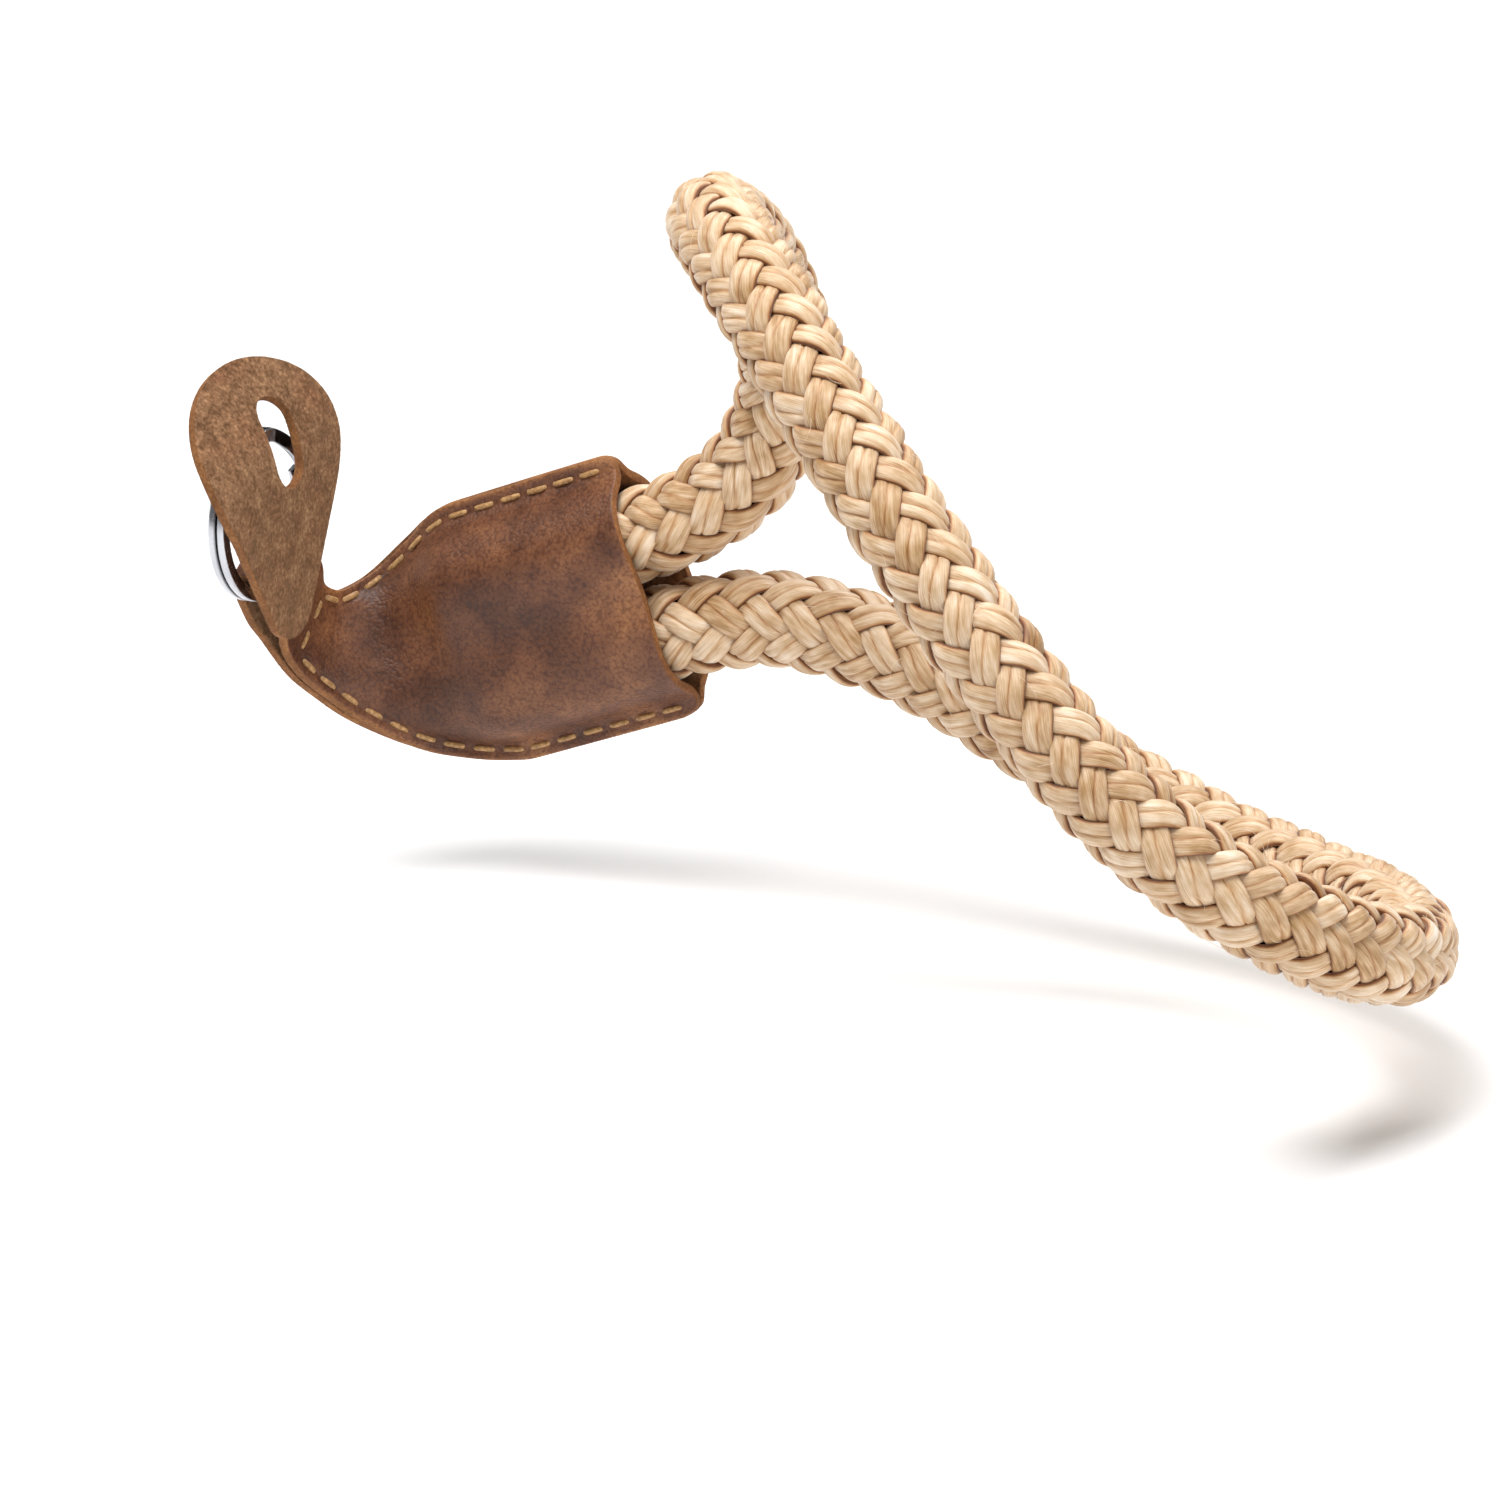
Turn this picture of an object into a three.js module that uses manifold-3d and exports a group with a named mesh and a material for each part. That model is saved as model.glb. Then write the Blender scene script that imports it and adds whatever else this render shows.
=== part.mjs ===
// Camera wrist strap: a loop of thick braided rope whose two ends sit in a leather cuff,
// the cuff's folded band on a steel split ring, and a leather pad between ring and camera.
// Millimetres, +Z up. +X runs along the camera's width and +Y towards its back.
// The origin is the inside top of the ring, where it hangs on the camera's lug.

import * as THREE from 'three';
import { mergeVertices } from 'three/addons/utils/BufferGeometryUtils.js';
import Module from 'manifold-3d';

// ---------------------------------------------------------------- driving dimensions

const RING_INNER_RADIUS = 8.25;
const RING_OUTER_RADIUS = 9.75;
const RING_HALF_WIDTH = 1.1;
const RING_CHAMFER = 0.3;
const RING_GROOVE = 0.2;
const RING_SEGMENTS = 48;
const RING_CENTRE = new THREE.Vector3(0, 0, -RING_INNER_RADIUS);

const PAD_THICKNESS = 1.2;
const PAD_OUTER_FACE = 3.1; // X of the face that looks at the ring, where the pad is flat
const PAD_HEAD = { radius: 12.1, y: -1.6, z: 6.65 }; // wide round end, from the ring's centre
const PAD_TAIL = { radius: 4.4, y: -0.2, z: -9.3 }; // narrow round end, from the ring's centre
const PAD_BEND = { tilt: 0.37, start: 2.65, radius: 15.6, angle: 0.68 };
const PAD_SLOT = { width: 4.8, height: 9.4 };

const LEATHER_GAP = 0.3; // from ring wire and rope to the leather around them
const FOLD_TOP = 2.8; // distances along the fold, from the ring's centre
const FOLD_EYE = [4.0, 10.3];
const FOLD_END = 14;
const FOLD_OFFSET = -1.77; // the fold's middle, sideways from the ring's centre
const FOLD_TILT = 0.611; // how far the band leans back from straight down

const ROPE_RADIUS = 5.4;
const ROPE_SIDES = 12;
const ROPE_STEPS = 72;
const ROPE_SPACING = 11.62; // between the two rope ends, side by side in the cuff

const CUFF_MOUTH = new THREE.Vector3(37.15, 25.26, -17.13);
const CUFF_AXIS = new THREE.Vector3(0.93, 0.095, 0.355).normalize();
const CUFF_ACROSS = new THREE.Vector3(-0.355, -0.036, 0.934).normalize();
const CUFF_LENGTH = 24.5;
const CUFF_DEPTH = 17.4; // how far the rope ends' room reaches in from the mouth

// Route of the rope's centre line, from the upper end in the cuff, up behind, over the
// crest, down the front, round the far bend and back along behind to the lower end.
const ROPE_ROUTE = [
  [19.7, 23.5, -17.6], [28.1, 24.35, -14.5], [36.4, 25.2, -11.2], [43.6, 26.1, -7.0],
  [48.9, 26.9, -1.0], [52.1, 26.3, 6.6], [53.5, 22.7, 14.8], [54.4, 16.2, 22.3],
  [56.0, 8.0, 28.0], [59.4, -3.0, 32.4], [64.8, -11.0, 32.9], [70.7, -16.9, 31.0],
  [79.0, -23.3, 26.0], [86.2, -27.5, 20.1], [92.8, -30.5, 14.3], [99.2, -32.6, 8.4],
  [105.2, -34.2, 2.5], [111.3, -35.3, -3.4], [117.3, -35.8, -9.2], [123.3, -35.5, -14.9],
  [129.5, -33.8, -20.3], [135.5, -30.2, -25.2], [140.7, -24.6, -29.6], [143.9, -16.9, -33.5],
  [144.0, -8.0, -36.1], [140.9, 1.1, -38.1], [135.8, 9.3, -39.2], [128.4, 16.6, -39.9],
  [112.5, 24.5, -39.4], [96.0, 27.6, -35.4], [81.5, 28.4, -29.2], [69.0, 28.4, -23.8],
  [58.5, 27.6, -20.8], [49.5, 26.7, -20.2], [40.7, 25.6, -22.0], [32.1, 24.7, -25.3],
  [23.7, 23.9, -28.4],
];

// Sections of the leather end: distance from the fold's top, width, thickness, corner radius.
const LEATHER_SECTIONS = [
  { along: 0.0, width: 9.4, thickness: 1.6, corner: 0.4 },
  { along: 0.5, width: 10.0, thickness: 3.6, corner: 0.4 },
  { along: 1.5, width: 10.0, thickness: 4.9, corner: 0.4 },
  { along: 2.6, width: 10.0, thickness: 5.2, corner: 0.4 },
  { along: 9.0, width: 10.0, thickness: 5.2, corner: 0.4 },
  { along: 11.2, width: 10.0, thickness: 3.4, corner: 0.4 },
  { along: 13.5, width: 10.2, thickness: 2.6, corner: 0.5 },
  { along: 19.0, width: 11.4, thickness: 2.8, corner: 0.8 },
  { along: 25.0, width: 15.5, thickness: 5.0, corner: 1.9 },
  { along: 30.5, width: 20.5, thickness: 9.0, corner: 3.8 },
  { along: 35.5, width: 24.4, thickness: 12.8, corner: 6.0 },
  { along: 40.0, width: 26.0, thickness: 14.4, corner: 7.1 },
  { along: 46.0, width: 26.0, thickness: 14.4, corner: 7.1 },
];
const LEATHER_STATIONS = 44;
const CORNER_POINTS = 5;

// ---------------------------------------------------------------- materials

const steel = new THREE.MeshStandardMaterial({ color: 0xb9bbbd, roughness: 0.25, metalness: 1 });
const suede = new THREE.MeshStandardMaterial({ color: 0x6f4a33, roughness: 0.95, metalness: 0 });
const leather = new THREE.MeshStandardMaterial({ color: 0x6a4129, roughness: 0.6, metalness: 0 });
const rope = new THREE.MeshStandardMaterial({ color: 0xd9b88c, roughness: 0.75, metalness: 0 });

// ---------------------------------------------------------------- joining and cutting

const manifold = await Module();
manifold.setup();

function toSolid(geometry) {
  const plain = geometry.clone();
  plain.deleteAttribute('normal');
  plain.deleteAttribute('uv');
  const merged = mergeVertices(plain, 1e-4);
  const mesh = new manifold.Mesh({
    numProp: 3,
    vertProperties: new Float32Array(merged.attributes.position.array),
    triVerts: new Uint32Array(merged.index.array),
  });
  return new manifold.Manifold(mesh);
}

function toGeometry(solid) {
  const mesh = solid.getMesh();
  const geometry = new THREE.BufferGeometry();
  geometry.setAttribute('position', new THREE.BufferAttribute(new Float32Array(mesh.vertProperties), 3));
  geometry.setIndex(new THREE.BufferAttribute(new Uint32Array(mesh.triVerts), 1));
  geometry.computeVertexNormals();
  return geometry;
}

function namedMesh(name, geometry, material) {
  const mesh = new THREE.Mesh(geometry, material);
  mesh.name = name;
  return mesh;
}

// ---------------------------------------------------------------- split ring

// Two flat coils lying against each other read as one ring with a groove round it.
function splitRing() {
  const inner = RING_INNER_RADIUS;
  const outer = RING_OUTER_RADIUS;
  const half = RING_HALF_WIDTH;
  const bevel = RING_CHAMFER;
  const groove = RING_GROOVE;
  const profile = [
    [inner, -half + bevel], [inner + bevel, -half], [outer - bevel, -half], [outer, -half + bevel],
    [outer, -groove], [outer - groove, 0], [outer, groove],
    [outer, half - bevel], [outer - bevel, half], [inner + bevel, half], [inner, half - bevel],
    [inner, groove], [inner + groove, 0], [inner, -groove], [inner, -half + bevel],
  ].map(([radius, height]) => new THREE.Vector2(radius, height));
  const mesh = namedMesh('split_ring', new THREE.LatheGeometry(profile, RING_SEGMENTS), steel);
  mesh.rotation.z = Math.PI / 2; // the lathe's axis becomes X
  mesh.position.copy(RING_CENTRE);
  return mesh;
}

// ---------------------------------------------------------------- protector pad

// The pad is a flat teardrop in Y and Z whose upper front curls away from the camera.
// The curl is about an axis in the pad's own plane, so it is a plain roll of the sheet.
const padAlong = new THREE.Vector2(Math.cos(PAD_BEND.tilt), Math.sin(PAD_BEND.tilt));
const padAcross = new THREE.Vector2(-Math.sin(PAD_BEND.tilt), Math.cos(PAD_BEND.tilt));

// Where a point of the flat sheet comes to lie in Y and Z once the sheet is rolled.
function rolledPoint(flat) {
  const along = flat.dot(padAlong);
  const across = flat.dot(padAcross) - PAD_BEND.start;
  const arc = THREE.MathUtils.clamp(across / PAD_BEND.radius, 0, PAD_BEND.angle);
  const past = Math.max(across - PAD_BEND.radius * PAD_BEND.angle, 0);
  const shift = across < 0 ? across : PAD_BEND.radius * Math.sin(arc) + past * Math.cos(PAD_BEND.angle);
  return padAlong.clone().multiplyScalar(along).addScaledVector(padAcross, shift + PAD_BEND.start);
}

// Points on the teardrop: the head's arc and the tail's arc, joined by their common tangents.
function teardropPoints() {
  const head = new THREE.Vector2(PAD_HEAD.y, PAD_HEAD.z);
  const tail = new THREE.Vector2(PAD_TAIL.y, PAD_TAIL.z);
  const down = tail.clone().sub(head);
  const axis = Math.atan2(down.y, down.x);
  const open = Math.acos((PAD_HEAD.radius - PAD_TAIL.radius) / down.length());
  const points = [];
  const arc = (centre, radius, from, to, count) => {
    for (let i = 0; i <= count; i += 1) {
      const angle = from + ((to - from) * i) / count;
      points.push(new THREE.Vector2(Math.cos(angle), Math.sin(angle)).multiplyScalar(radius).add(centre));
    }
  };
  const straight = (target, count) => {
    const start = points[points.length - 1];
    for (let i = 1; i < count; i += 1) points.push(start.clone().lerp(target, i / count));
  };
  const at = (centre, radius, angle) =>
    new THREE.Vector2(Math.cos(angle), Math.sin(angle)).multiplyScalar(radius).add(centre);
  arc(head, PAD_HEAD.radius, axis + open, axis + 2 * Math.PI - open, 40);
  straight(at(tail, PAD_TAIL.radius, axis - open), 4);
  arc(tail, PAD_TAIL.radius, axis - open, axis + open, 12);
  straight(at(head, PAD_HEAD.radius, axis + open), 4);
  return points;
}

// The rolled sheet itself, wider than the teardrop, as one thick bent strip.
function rolledSheet() {
  const reach = 40;
  const outerSide = [new THREE.Vector2(-reach, PAD_OUTER_FACE)];
  const innerSide = [new THREE.Vector2(-reach, PAD_OUTER_FACE + PAD_THICKNESS)];
  const steps = 12;
  for (let i = 0; i <= steps; i += 1) {
    const angle = (PAD_BEND.angle * i) / steps;
    const turn = new THREE.Vector2(Math.sin(angle), Math.cos(angle));
    const centre = new THREE.Vector2(PAD_BEND.start, PAD_OUTER_FACE - PAD_BEND.radius);
    outerSide.push(centre.clone().addScaledVector(turn, PAD_BEND.radius));
    innerSide.push(centre.clone().addScaledVector(turn, PAD_BEND.radius + PAD_THICKNESS));
  }
  const run = new THREE.Vector2(Math.cos(PAD_BEND.angle), -Math.sin(PAD_BEND.angle)).multiplyScalar(reach);
  outerSide.push(outerSide[outerSide.length - 1].clone().add(run));
  innerSide.push(innerSide[innerSide.length - 1].clone().add(run));
  const strip = new THREE.Shape([...outerSide, ...innerSide.reverse()]);
  const sheet = new THREE.ExtrudeGeometry(strip, { depth: 2 * reach, bevelEnabled: false, steps: 1 });
  sheet.translate(0, 0, -reach);
  // The strip was drawn across the roll and in X, and pulled out along the roll.
  const place = new THREE.Matrix4().makeBasis(
    new THREE.Vector3(0, padAcross.x, padAcross.y),
    new THREE.Vector3(1, 0, 0),
    new THREE.Vector3(0, padAlong.x, padAlong.y),
  );
  return sheet.applyMatrix4(place);
}

// A prism along X over an outline given in Y and Z.
function prismAlongX(outline, holes, fromX, toX) {
  const shape = new THREE.Shape(outline);
  shape.holes = holes.map((points) => new THREE.Path(points));
  const prism = new THREE.ExtrudeGeometry(shape, { depth: toX - fromX, bevelEnabled: false, steps: 1 });
  prism.translate(0, 0, fromX);
  const place = new THREE.Matrix4().makeBasis(
    new THREE.Vector3(0, 1, 0),
    new THREE.Vector3(0, 0, 1),
    new THREE.Vector3(1, 0, 0),
  );
  return prism.applyMatrix4(place);
}

// A slot with round ends round the lug, which stands where the ring hangs.
function slotPoints() {
  const radius = PAD_SLOT.width / 2;
  const rise = PAD_SLOT.height / 2 - radius;
  const points = [];
  for (const side of [1, -1]) {
    for (let i = 0; i <= 8; i += 1) {
      const angle = (Math.PI * i) / 8 + (side > 0 ? 0 : Math.PI);
      const middle = RING_INNER_RADIUS + side * rise;
      points.push(new THREE.Vector2(radius * Math.cos(angle), middle + radius * Math.sin(angle)));
    }
  }
  return points;
}

function protectorPad() {
  const outline = teardropPoints().map(rolledPoint);
  const blank = toSolid(prismAlongX(outline, [slotPoints()], -30, 30));
  const pad = blank.intersect(toSolid(rolledSheet()));
  const mesh = namedMesh('protector_pad', toGeometry(pad), suede);
  mesh.position.copy(RING_CENTRE);
  return mesh;
}

// ---------------------------------------------------------------- leather end

const foldDown = new THREE.Vector3(0, Math.sin(FOLD_TILT), -Math.cos(FOLD_TILT));
const foldAcross = new THREE.Vector3(0, Math.cos(FOLD_TILT), Math.sin(FOLD_TILT));

function foldPoint(distance) {
  return RING_CENTRE.clone().addScaledVector(foldAcross, FOLD_OFFSET).addScaledVector(foldDown, distance);
}

// The band's middle line: straight down the fold, round the camera's corner, up the cuff.
function leatherPath() {
  const bandStart = foldPoint(FOLD_END);
  const cuffStart = CUFF_MOUTH.clone().addScaledVector(CUFF_AXIS, -CUFF_LENGTH);
  const path = new THREE.CurvePath();
  path.add(new THREE.LineCurve3(foldPoint(FOLD_TOP), bandStart));
  path.add(new THREE.CubicBezierCurve3(
    bandStart,
    bandStart.clone().addScaledVector(foldDown, 10),
    cuffStart.clone().addScaledVector(CUFF_AXIS, -10),
    cuffStart,
  ));
  path.add(new THREE.LineCurve3(cuffStart, CUFF_MOUTH));
  return path;
}

// One section's outline: a rounded rectangle, given across the band and through it.
function sectionOutline({ width, thickness, corner }) {
  const radius = Math.min(corner, width / 2 - 0.05, thickness / 2 - 0.05);
  const points = [];
  const signs = [[1, 1], [-1, 1], [-1, -1], [1, -1]];
  signs.forEach(([across, through], quarter) => {
    for (let i = 0; i < CORNER_POINTS; i += 1) {
      const angle = (Math.PI / 2) * (quarter + i / (CORNER_POINTS - 1));
      points.push([
        across * (width / 2 - radius) + radius * Math.cos(angle),
        through * (thickness / 2 - radius) + radius * Math.sin(angle),
      ]);
    }
  });
  return points;
}

function sectionAt(along) {
  const next = LEATHER_SECTIONS.findIndex((section) => section.along >= along);
  if (next === 0) return LEATHER_SECTIONS[0];
  if (next < 0) return LEATHER_SECTIONS[LEATHER_SECTIONS.length - 1];
  const [low, high] = [LEATHER_SECTIONS[next - 1], LEATHER_SECTIONS[next]];
  const share = (along - low.along) / (high.along - low.along);
  return {
    width: THREE.MathUtils.lerp(low.width, high.width, share),
    thickness: THREE.MathUtils.lerp(low.thickness, high.thickness, share),
    corner: THREE.MathUtils.lerp(low.corner, high.corner, share),
  };
}

// A closed skin over rings of points, all with the same count, with a flat cap at each end.
function loft(rings) {
  const count = rings[0].length;
  const positions = rings.flat().flatMap((point) => point.toArray());
  const centre = (ring) => ring.reduce((sum, point) => sum.add(point), new THREE.Vector3()).divideScalar(count);
  const lastRing = (rings.length - 1) * count;
  const firstCap = rings.length * count;
  positions.push(...centre(rings[0]).toArray(), ...centre(rings[rings.length - 1]).toArray());
  const faces = [];
  for (let i = 0; i < count; i += 1) {
    const j = (i + 1) % count;
    for (let ring = 0; ring < rings.length - 1; ring += 1) {
      const here = ring * count;
      const there = here + count;
      faces.push(here + i, here + j, there + j, here + i, there + j, there + i);
    }
    faces.push(firstCap, j, i, firstCap + 1, lastRing + i, lastRing + j);
  }
  const geometry = new THREE.BufferGeometry();
  geometry.setAttribute('position', new THREE.Float32BufferAttribute(positions, 3));
  geometry.setIndex(faces);
  return geometry;
}

function leatherBody() {
  const path = leatherPath();
  const length = path.getLength();
  const turnStart = FOLD_END - FOLD_TOP;
  const turnEnd = length - CUFF_LENGTH;
  const stops = new Set(LEATHER_SECTIONS.map((section) => section.along));
  for (let i = 1; i <= LEATHER_STATIONS; i += 1) {
    const along = (length * i) / LEATHER_STATIONS;
    if (![...stops].some((stop) => Math.abs(stop - along) < 0.4)) stops.add(along);
  }
  const rings = [...stops].sort((a, b) => a - b).map((along) => {
    const share = along / length;
    const tangent = path.getTangentAt(share);
    const turned = THREE.MathUtils.smoothstep(along, turnStart, turnEnd);
    const across = foldAcross.clone().lerp(CUFF_ACROSS, turned);
    across.addScaledVector(tangent, -across.dot(tangent)).normalize();
    const through = tangent.clone().cross(across);
    const middle = path.getPointAt(share);
    return sectionOutline(sectionAt(along)).map(([a, b]) =>
      middle.clone().addScaledVector(across, a).addScaledVector(through, b));
  });
  return loft(rings);
}

// The room that the ring's wire takes in the fold, as a prism across the band.
function foldEye() {
  const half = RING_HALF_WIDTH + LEATHER_GAP;
  const [top, bottom] = FOLD_EYE;
  const bevel = 0.6;
  const outline = [
    [-half, top + bevel], [-half + bevel, top], [half - bevel, top], [half, top + bevel],
    [half, bottom - bevel], [half - bevel, bottom], [0, bottom + 1.2], [-half + bevel, bottom], [-half, bottom - bevel],
  ].map(([x, down]) => new THREE.Vector2(x, down));
  const reach = 14;
  const prism = new THREE.ExtrudeGeometry(new THREE.Shape(outline), { depth: 2 * reach, bevelEnabled: false });
  prism.translate(0, 0, -reach);
  const place = new THREE.Matrix4().makeBasis(new THREE.Vector3(1, 0, 0), foldDown, foldAcross);
  return prism.applyMatrix4(place).translate(...foldPoint(0).toArray());
}

// The room for the two rope ends, side by side, open at the cuff's mouth.
function cuffRoom() {
  const radius = ROPE_RADIUS + 1.5 * LEATHER_GAP;
  const offset = ROPE_SPACING / 2;
  const shape = new THREE.Shape();
  shape.absarc(offset, 0, radius, -Math.PI / 2, Math.PI / 2, false);
  shape.absarc(-offset, 0, radius, Math.PI / 2, (3 * Math.PI) / 2, false);
  const past = 3; // the cut runs on past the mouth
  const depth = CUFF_DEPTH + past;
  const room = new THREE.ExtrudeGeometry(shape, { depth, bevelEnabled: false, curveSegments: 16 });
  room.translate(0, 0, -CUFF_DEPTH);
  const through = CUFF_AXIS.clone().cross(CUFF_ACROSS);
  const place = new THREE.Matrix4().makeBasis(CUFF_ACROSS, through, CUFF_AXIS);
  return room.applyMatrix4(place).translate(...CUFF_MOUTH.toArray());
}

function leatherEnd() {
  const end = toSolid(leatherBody()).subtract(toSolid(foldEye())).subtract(toSolid(cuffRoom()));
  return namedMesh('leather_end', toGeometry(end), leather);
}

// ---------------------------------------------------------------- rope loop

function ropeLoop() {
  const route = new THREE.CatmullRomCurve3(
    ROPE_ROUTE.map((point) => new THREE.Vector3(...point)), false, 'centripetal',
  );
  const section = new THREE.Shape();
  for (let i = 0; i < ROPE_SIDES; i += 1) {
    const angle = (2 * Math.PI * i) / ROPE_SIDES;
    const point = [ROPE_RADIUS * Math.cos(angle), ROPE_RADIUS * Math.sin(angle)];
    if (i === 0) section.moveTo(...point);
    else section.lineTo(...point);
  }
  section.closePath();
  const tube = new THREE.ExtrudeGeometry(section, { steps: ROPE_STEPS, extrudePath: route, bevelEnabled: false });
  return namedMesh('rope_loop', tube, rope);
}

// ---------------------------------------------------------------- the strap

const strap = new THREE.Group();
strap.name = 'camera_wrist_strap';
strap.add(splitRing(), protectorPad(), leatherEnd(), ropeLoop());

export default strap;
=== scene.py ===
# Camera wrist strap: a braided rope loop, its leather end, the split ring and the leather pad.
# Metres, in the row frame: the origin is the inside top of the ring, +Z is up, +X runs along
# the camera's width and +Y towards the camera's back.
import math

import bmesh
import bpy
import numpy as np
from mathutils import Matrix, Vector


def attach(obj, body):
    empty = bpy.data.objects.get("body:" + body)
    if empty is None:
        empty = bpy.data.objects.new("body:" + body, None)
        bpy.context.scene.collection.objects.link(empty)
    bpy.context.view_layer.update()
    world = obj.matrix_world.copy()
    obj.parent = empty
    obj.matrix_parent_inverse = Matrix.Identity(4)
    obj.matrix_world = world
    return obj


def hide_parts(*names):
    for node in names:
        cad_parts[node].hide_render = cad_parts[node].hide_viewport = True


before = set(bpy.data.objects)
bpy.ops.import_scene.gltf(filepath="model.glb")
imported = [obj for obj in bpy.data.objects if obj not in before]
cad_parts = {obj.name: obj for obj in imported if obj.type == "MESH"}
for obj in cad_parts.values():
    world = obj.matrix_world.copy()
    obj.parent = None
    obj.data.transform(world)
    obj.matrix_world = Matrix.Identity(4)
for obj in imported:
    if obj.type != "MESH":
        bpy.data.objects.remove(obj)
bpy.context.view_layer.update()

MM = 0.001

# ---------------------------------------------------------------- camera

AIM = Vector((66.8, -9.0, -24.1)) * MM
VIEW_TURN = math.radians(28.5)  # round to the right of straight in front
VIEW_LIFT = math.radians(16.0)
VIEW_DISTANCE = 1.2
LENS = 266.3  # millimetres, on a sensor 36 mm wide
SENSOR_WIDTH = 36.0


def add_camera():
    towards = Vector((
        math.sin(VIEW_TURN) * math.cos(VIEW_LIFT),
        -math.cos(VIEW_TURN) * math.cos(VIEW_LIFT),
        math.sin(VIEW_LIFT),
    ))
    data = bpy.data.cameras.new("camera")
    data.lens = LENS
    data.sensor_width = SENSOR_WIDTH
    camera = bpy.data.objects.new("camera", data)
    camera.location = AIM + towards * VIEW_DISTANCE
    camera.rotation_euler = (-towards).to_track_quat("-Z", "Y").to_euler()
    bpy.context.scene.collection.objects.link(camera)
    bpy.context.scene.camera = camera


add_camera()

# ---------------------------------------------------------------- small tools


def srgb(code):
    """A hex colour as the linear RGBA that shaders take."""
    channels = [int(code[i:i + 2], 16) / 255 for i in (1, 3, 5)]
    return [c / 12.92 if c <= 0.04045 else ((c + 0.055) / 1.055) ** 2.4 for c in channels] + [1.0]


def new_material(name):
    material = bpy.data.materials.new(name)
    material.use_nodes = True
    material.node_tree.nodes.clear()
    return material


def node(material, kind, settings=None, **links):
    """Adds one node: settings are its own attributes, its sockets' values and a colour ramp's
    (place, hex colour) stops; links are its inputs, by name, or by number after an underline."""
    made = material.node_tree.nodes.new(kind)
    for key, value in (settings or {}).items():
        if key == "stops":
            bands = made.color_ramp.elements
            while len(bands) < len(value):
                bands.new(0.5)
            for band, (place, code) in zip(bands, value):
                band.position = place
                band.color = srgb(code)
        elif isinstance(key, str) and hasattr(made, key):
            setattr(made, key, value)
        else:
            made.inputs[key].default_value = value
    for key, source in links.items():
        socket = made.inputs[int(key[1:])] if key[0] == "_" else made.inputs[key.replace("_", " ")]
        material.node_tree.links.new(source, socket)
    return made


def finish_piece(piece):
    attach(piece, "root")
    return piece


def mesh_piece(name, points, faces, material):
    """A piece from numpy points in metres and a list of faces."""
    data = bpy.data.meshes.new(name)
    data.from_pydata([tuple(p) for p in points], [], faces)
    data.validate()
    data.materials.append(material)
    data.polygons.foreach_set("use_smooth", [True] * len(data.polygons))
    piece = bpy.data.objects.new(name, data)
    bpy.context.scene.collection.objects.link(piece)
    return piece


def give_attribute(piece, name, values):
    """A value for each point, for materials to read."""
    data = piece.data.attributes.new(name, "FLOAT", "POINT").data
    data.foreach_set("value", np.asarray(values).astype(np.float32))


# ---------------------------------------------------------------- rope: its line

ROPE_ROUTE = [
    (0.0197, 0.0235, -0.0176), (0.0281, 0.02435, -0.0145), (0.0364, 0.0252, -0.0112),
    (0.0436, 0.0261, -0.0070), (0.0489, 0.0269, -0.0010), (0.0521, 0.0263, 0.0066),
    (0.0535, 0.0227, 0.0148), (0.0544, 0.0162, 0.0223), (0.0560, 0.0080, 0.0280),
    (0.0594, -0.0030, 0.0324), (0.0648, -0.0110, 0.0329), (0.0707, -0.0169, 0.0310),
    (0.0790, -0.0233, 0.0260), (0.0862, -0.0275, 0.0201), (0.0928, -0.0305, 0.0143),
    (0.0992, -0.0326, 0.0084), (0.1052, -0.0342, 0.0025), (0.1113, -0.0353, -0.0034),
    (0.1173, -0.0358, -0.0092), (0.1233, -0.0355, -0.0149), (0.1295, -0.0338, -0.0203),
    (0.1355, -0.0302, -0.0252), (0.1407, -0.0246, -0.0296), (0.1439, -0.0169, -0.0335),
    (0.1440, -0.0080, -0.0361), (0.1409, 0.0011, -0.0381), (0.1358, 0.0093, -0.0392),
    (0.1284, 0.0166, -0.0399), (0.1125, 0.0245, -0.0394), (0.0960, 0.0276, -0.0354),
    (0.0815, 0.0284, -0.0292), (0.0690, 0.0284, -0.0238), (0.0585, 0.0276, -0.0208),
    (0.0495, 0.0267, -0.0202), (0.0407, 0.0256, -0.0220), (0.0321, 0.0247, -0.0253),
    (0.0237, 0.0239, -0.0284),
]
ROPE_RADIUS = 5.4 * MM
LINE_STEP = 0.25 * MM
SPLINE_SAMPLES = 400  # between one point of the route and the next
# How far the braid is turned about the rope's line: (place along it in mm, degrees).
BRAID_TURNS = (
    (0, 236), (90, 236), (100, 237), (110, 234.8), (120, 232.5), (130, 231.8), (140, 233.4),
    (150, 234.3), (160, 236.2), (170, 237.8), (180, 238.6), (189, 239), (195, 231), (201, 226),
    (207, 228), (215, 229), (400, 229),
)
# How far the braid runs ahead of an even one: it is packed tighter here, looser there (mm, mm).
BRAID_AHEAD = (
    (0, -2.6), (98, -2.6), (105, -2.2), (111, -1.7), (117, -1.1), (123, -0.7), (129, -0.5),
    (135, -0.25), (159, -0.2), (165, 0.2), (171, 0.6), (177, 1.3), (183, 2.0), (189, 2.7),
    (195, 3.4), (201, 4.7), (207, 6.0), (215, 7.0), (400, 7.0),
)


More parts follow.
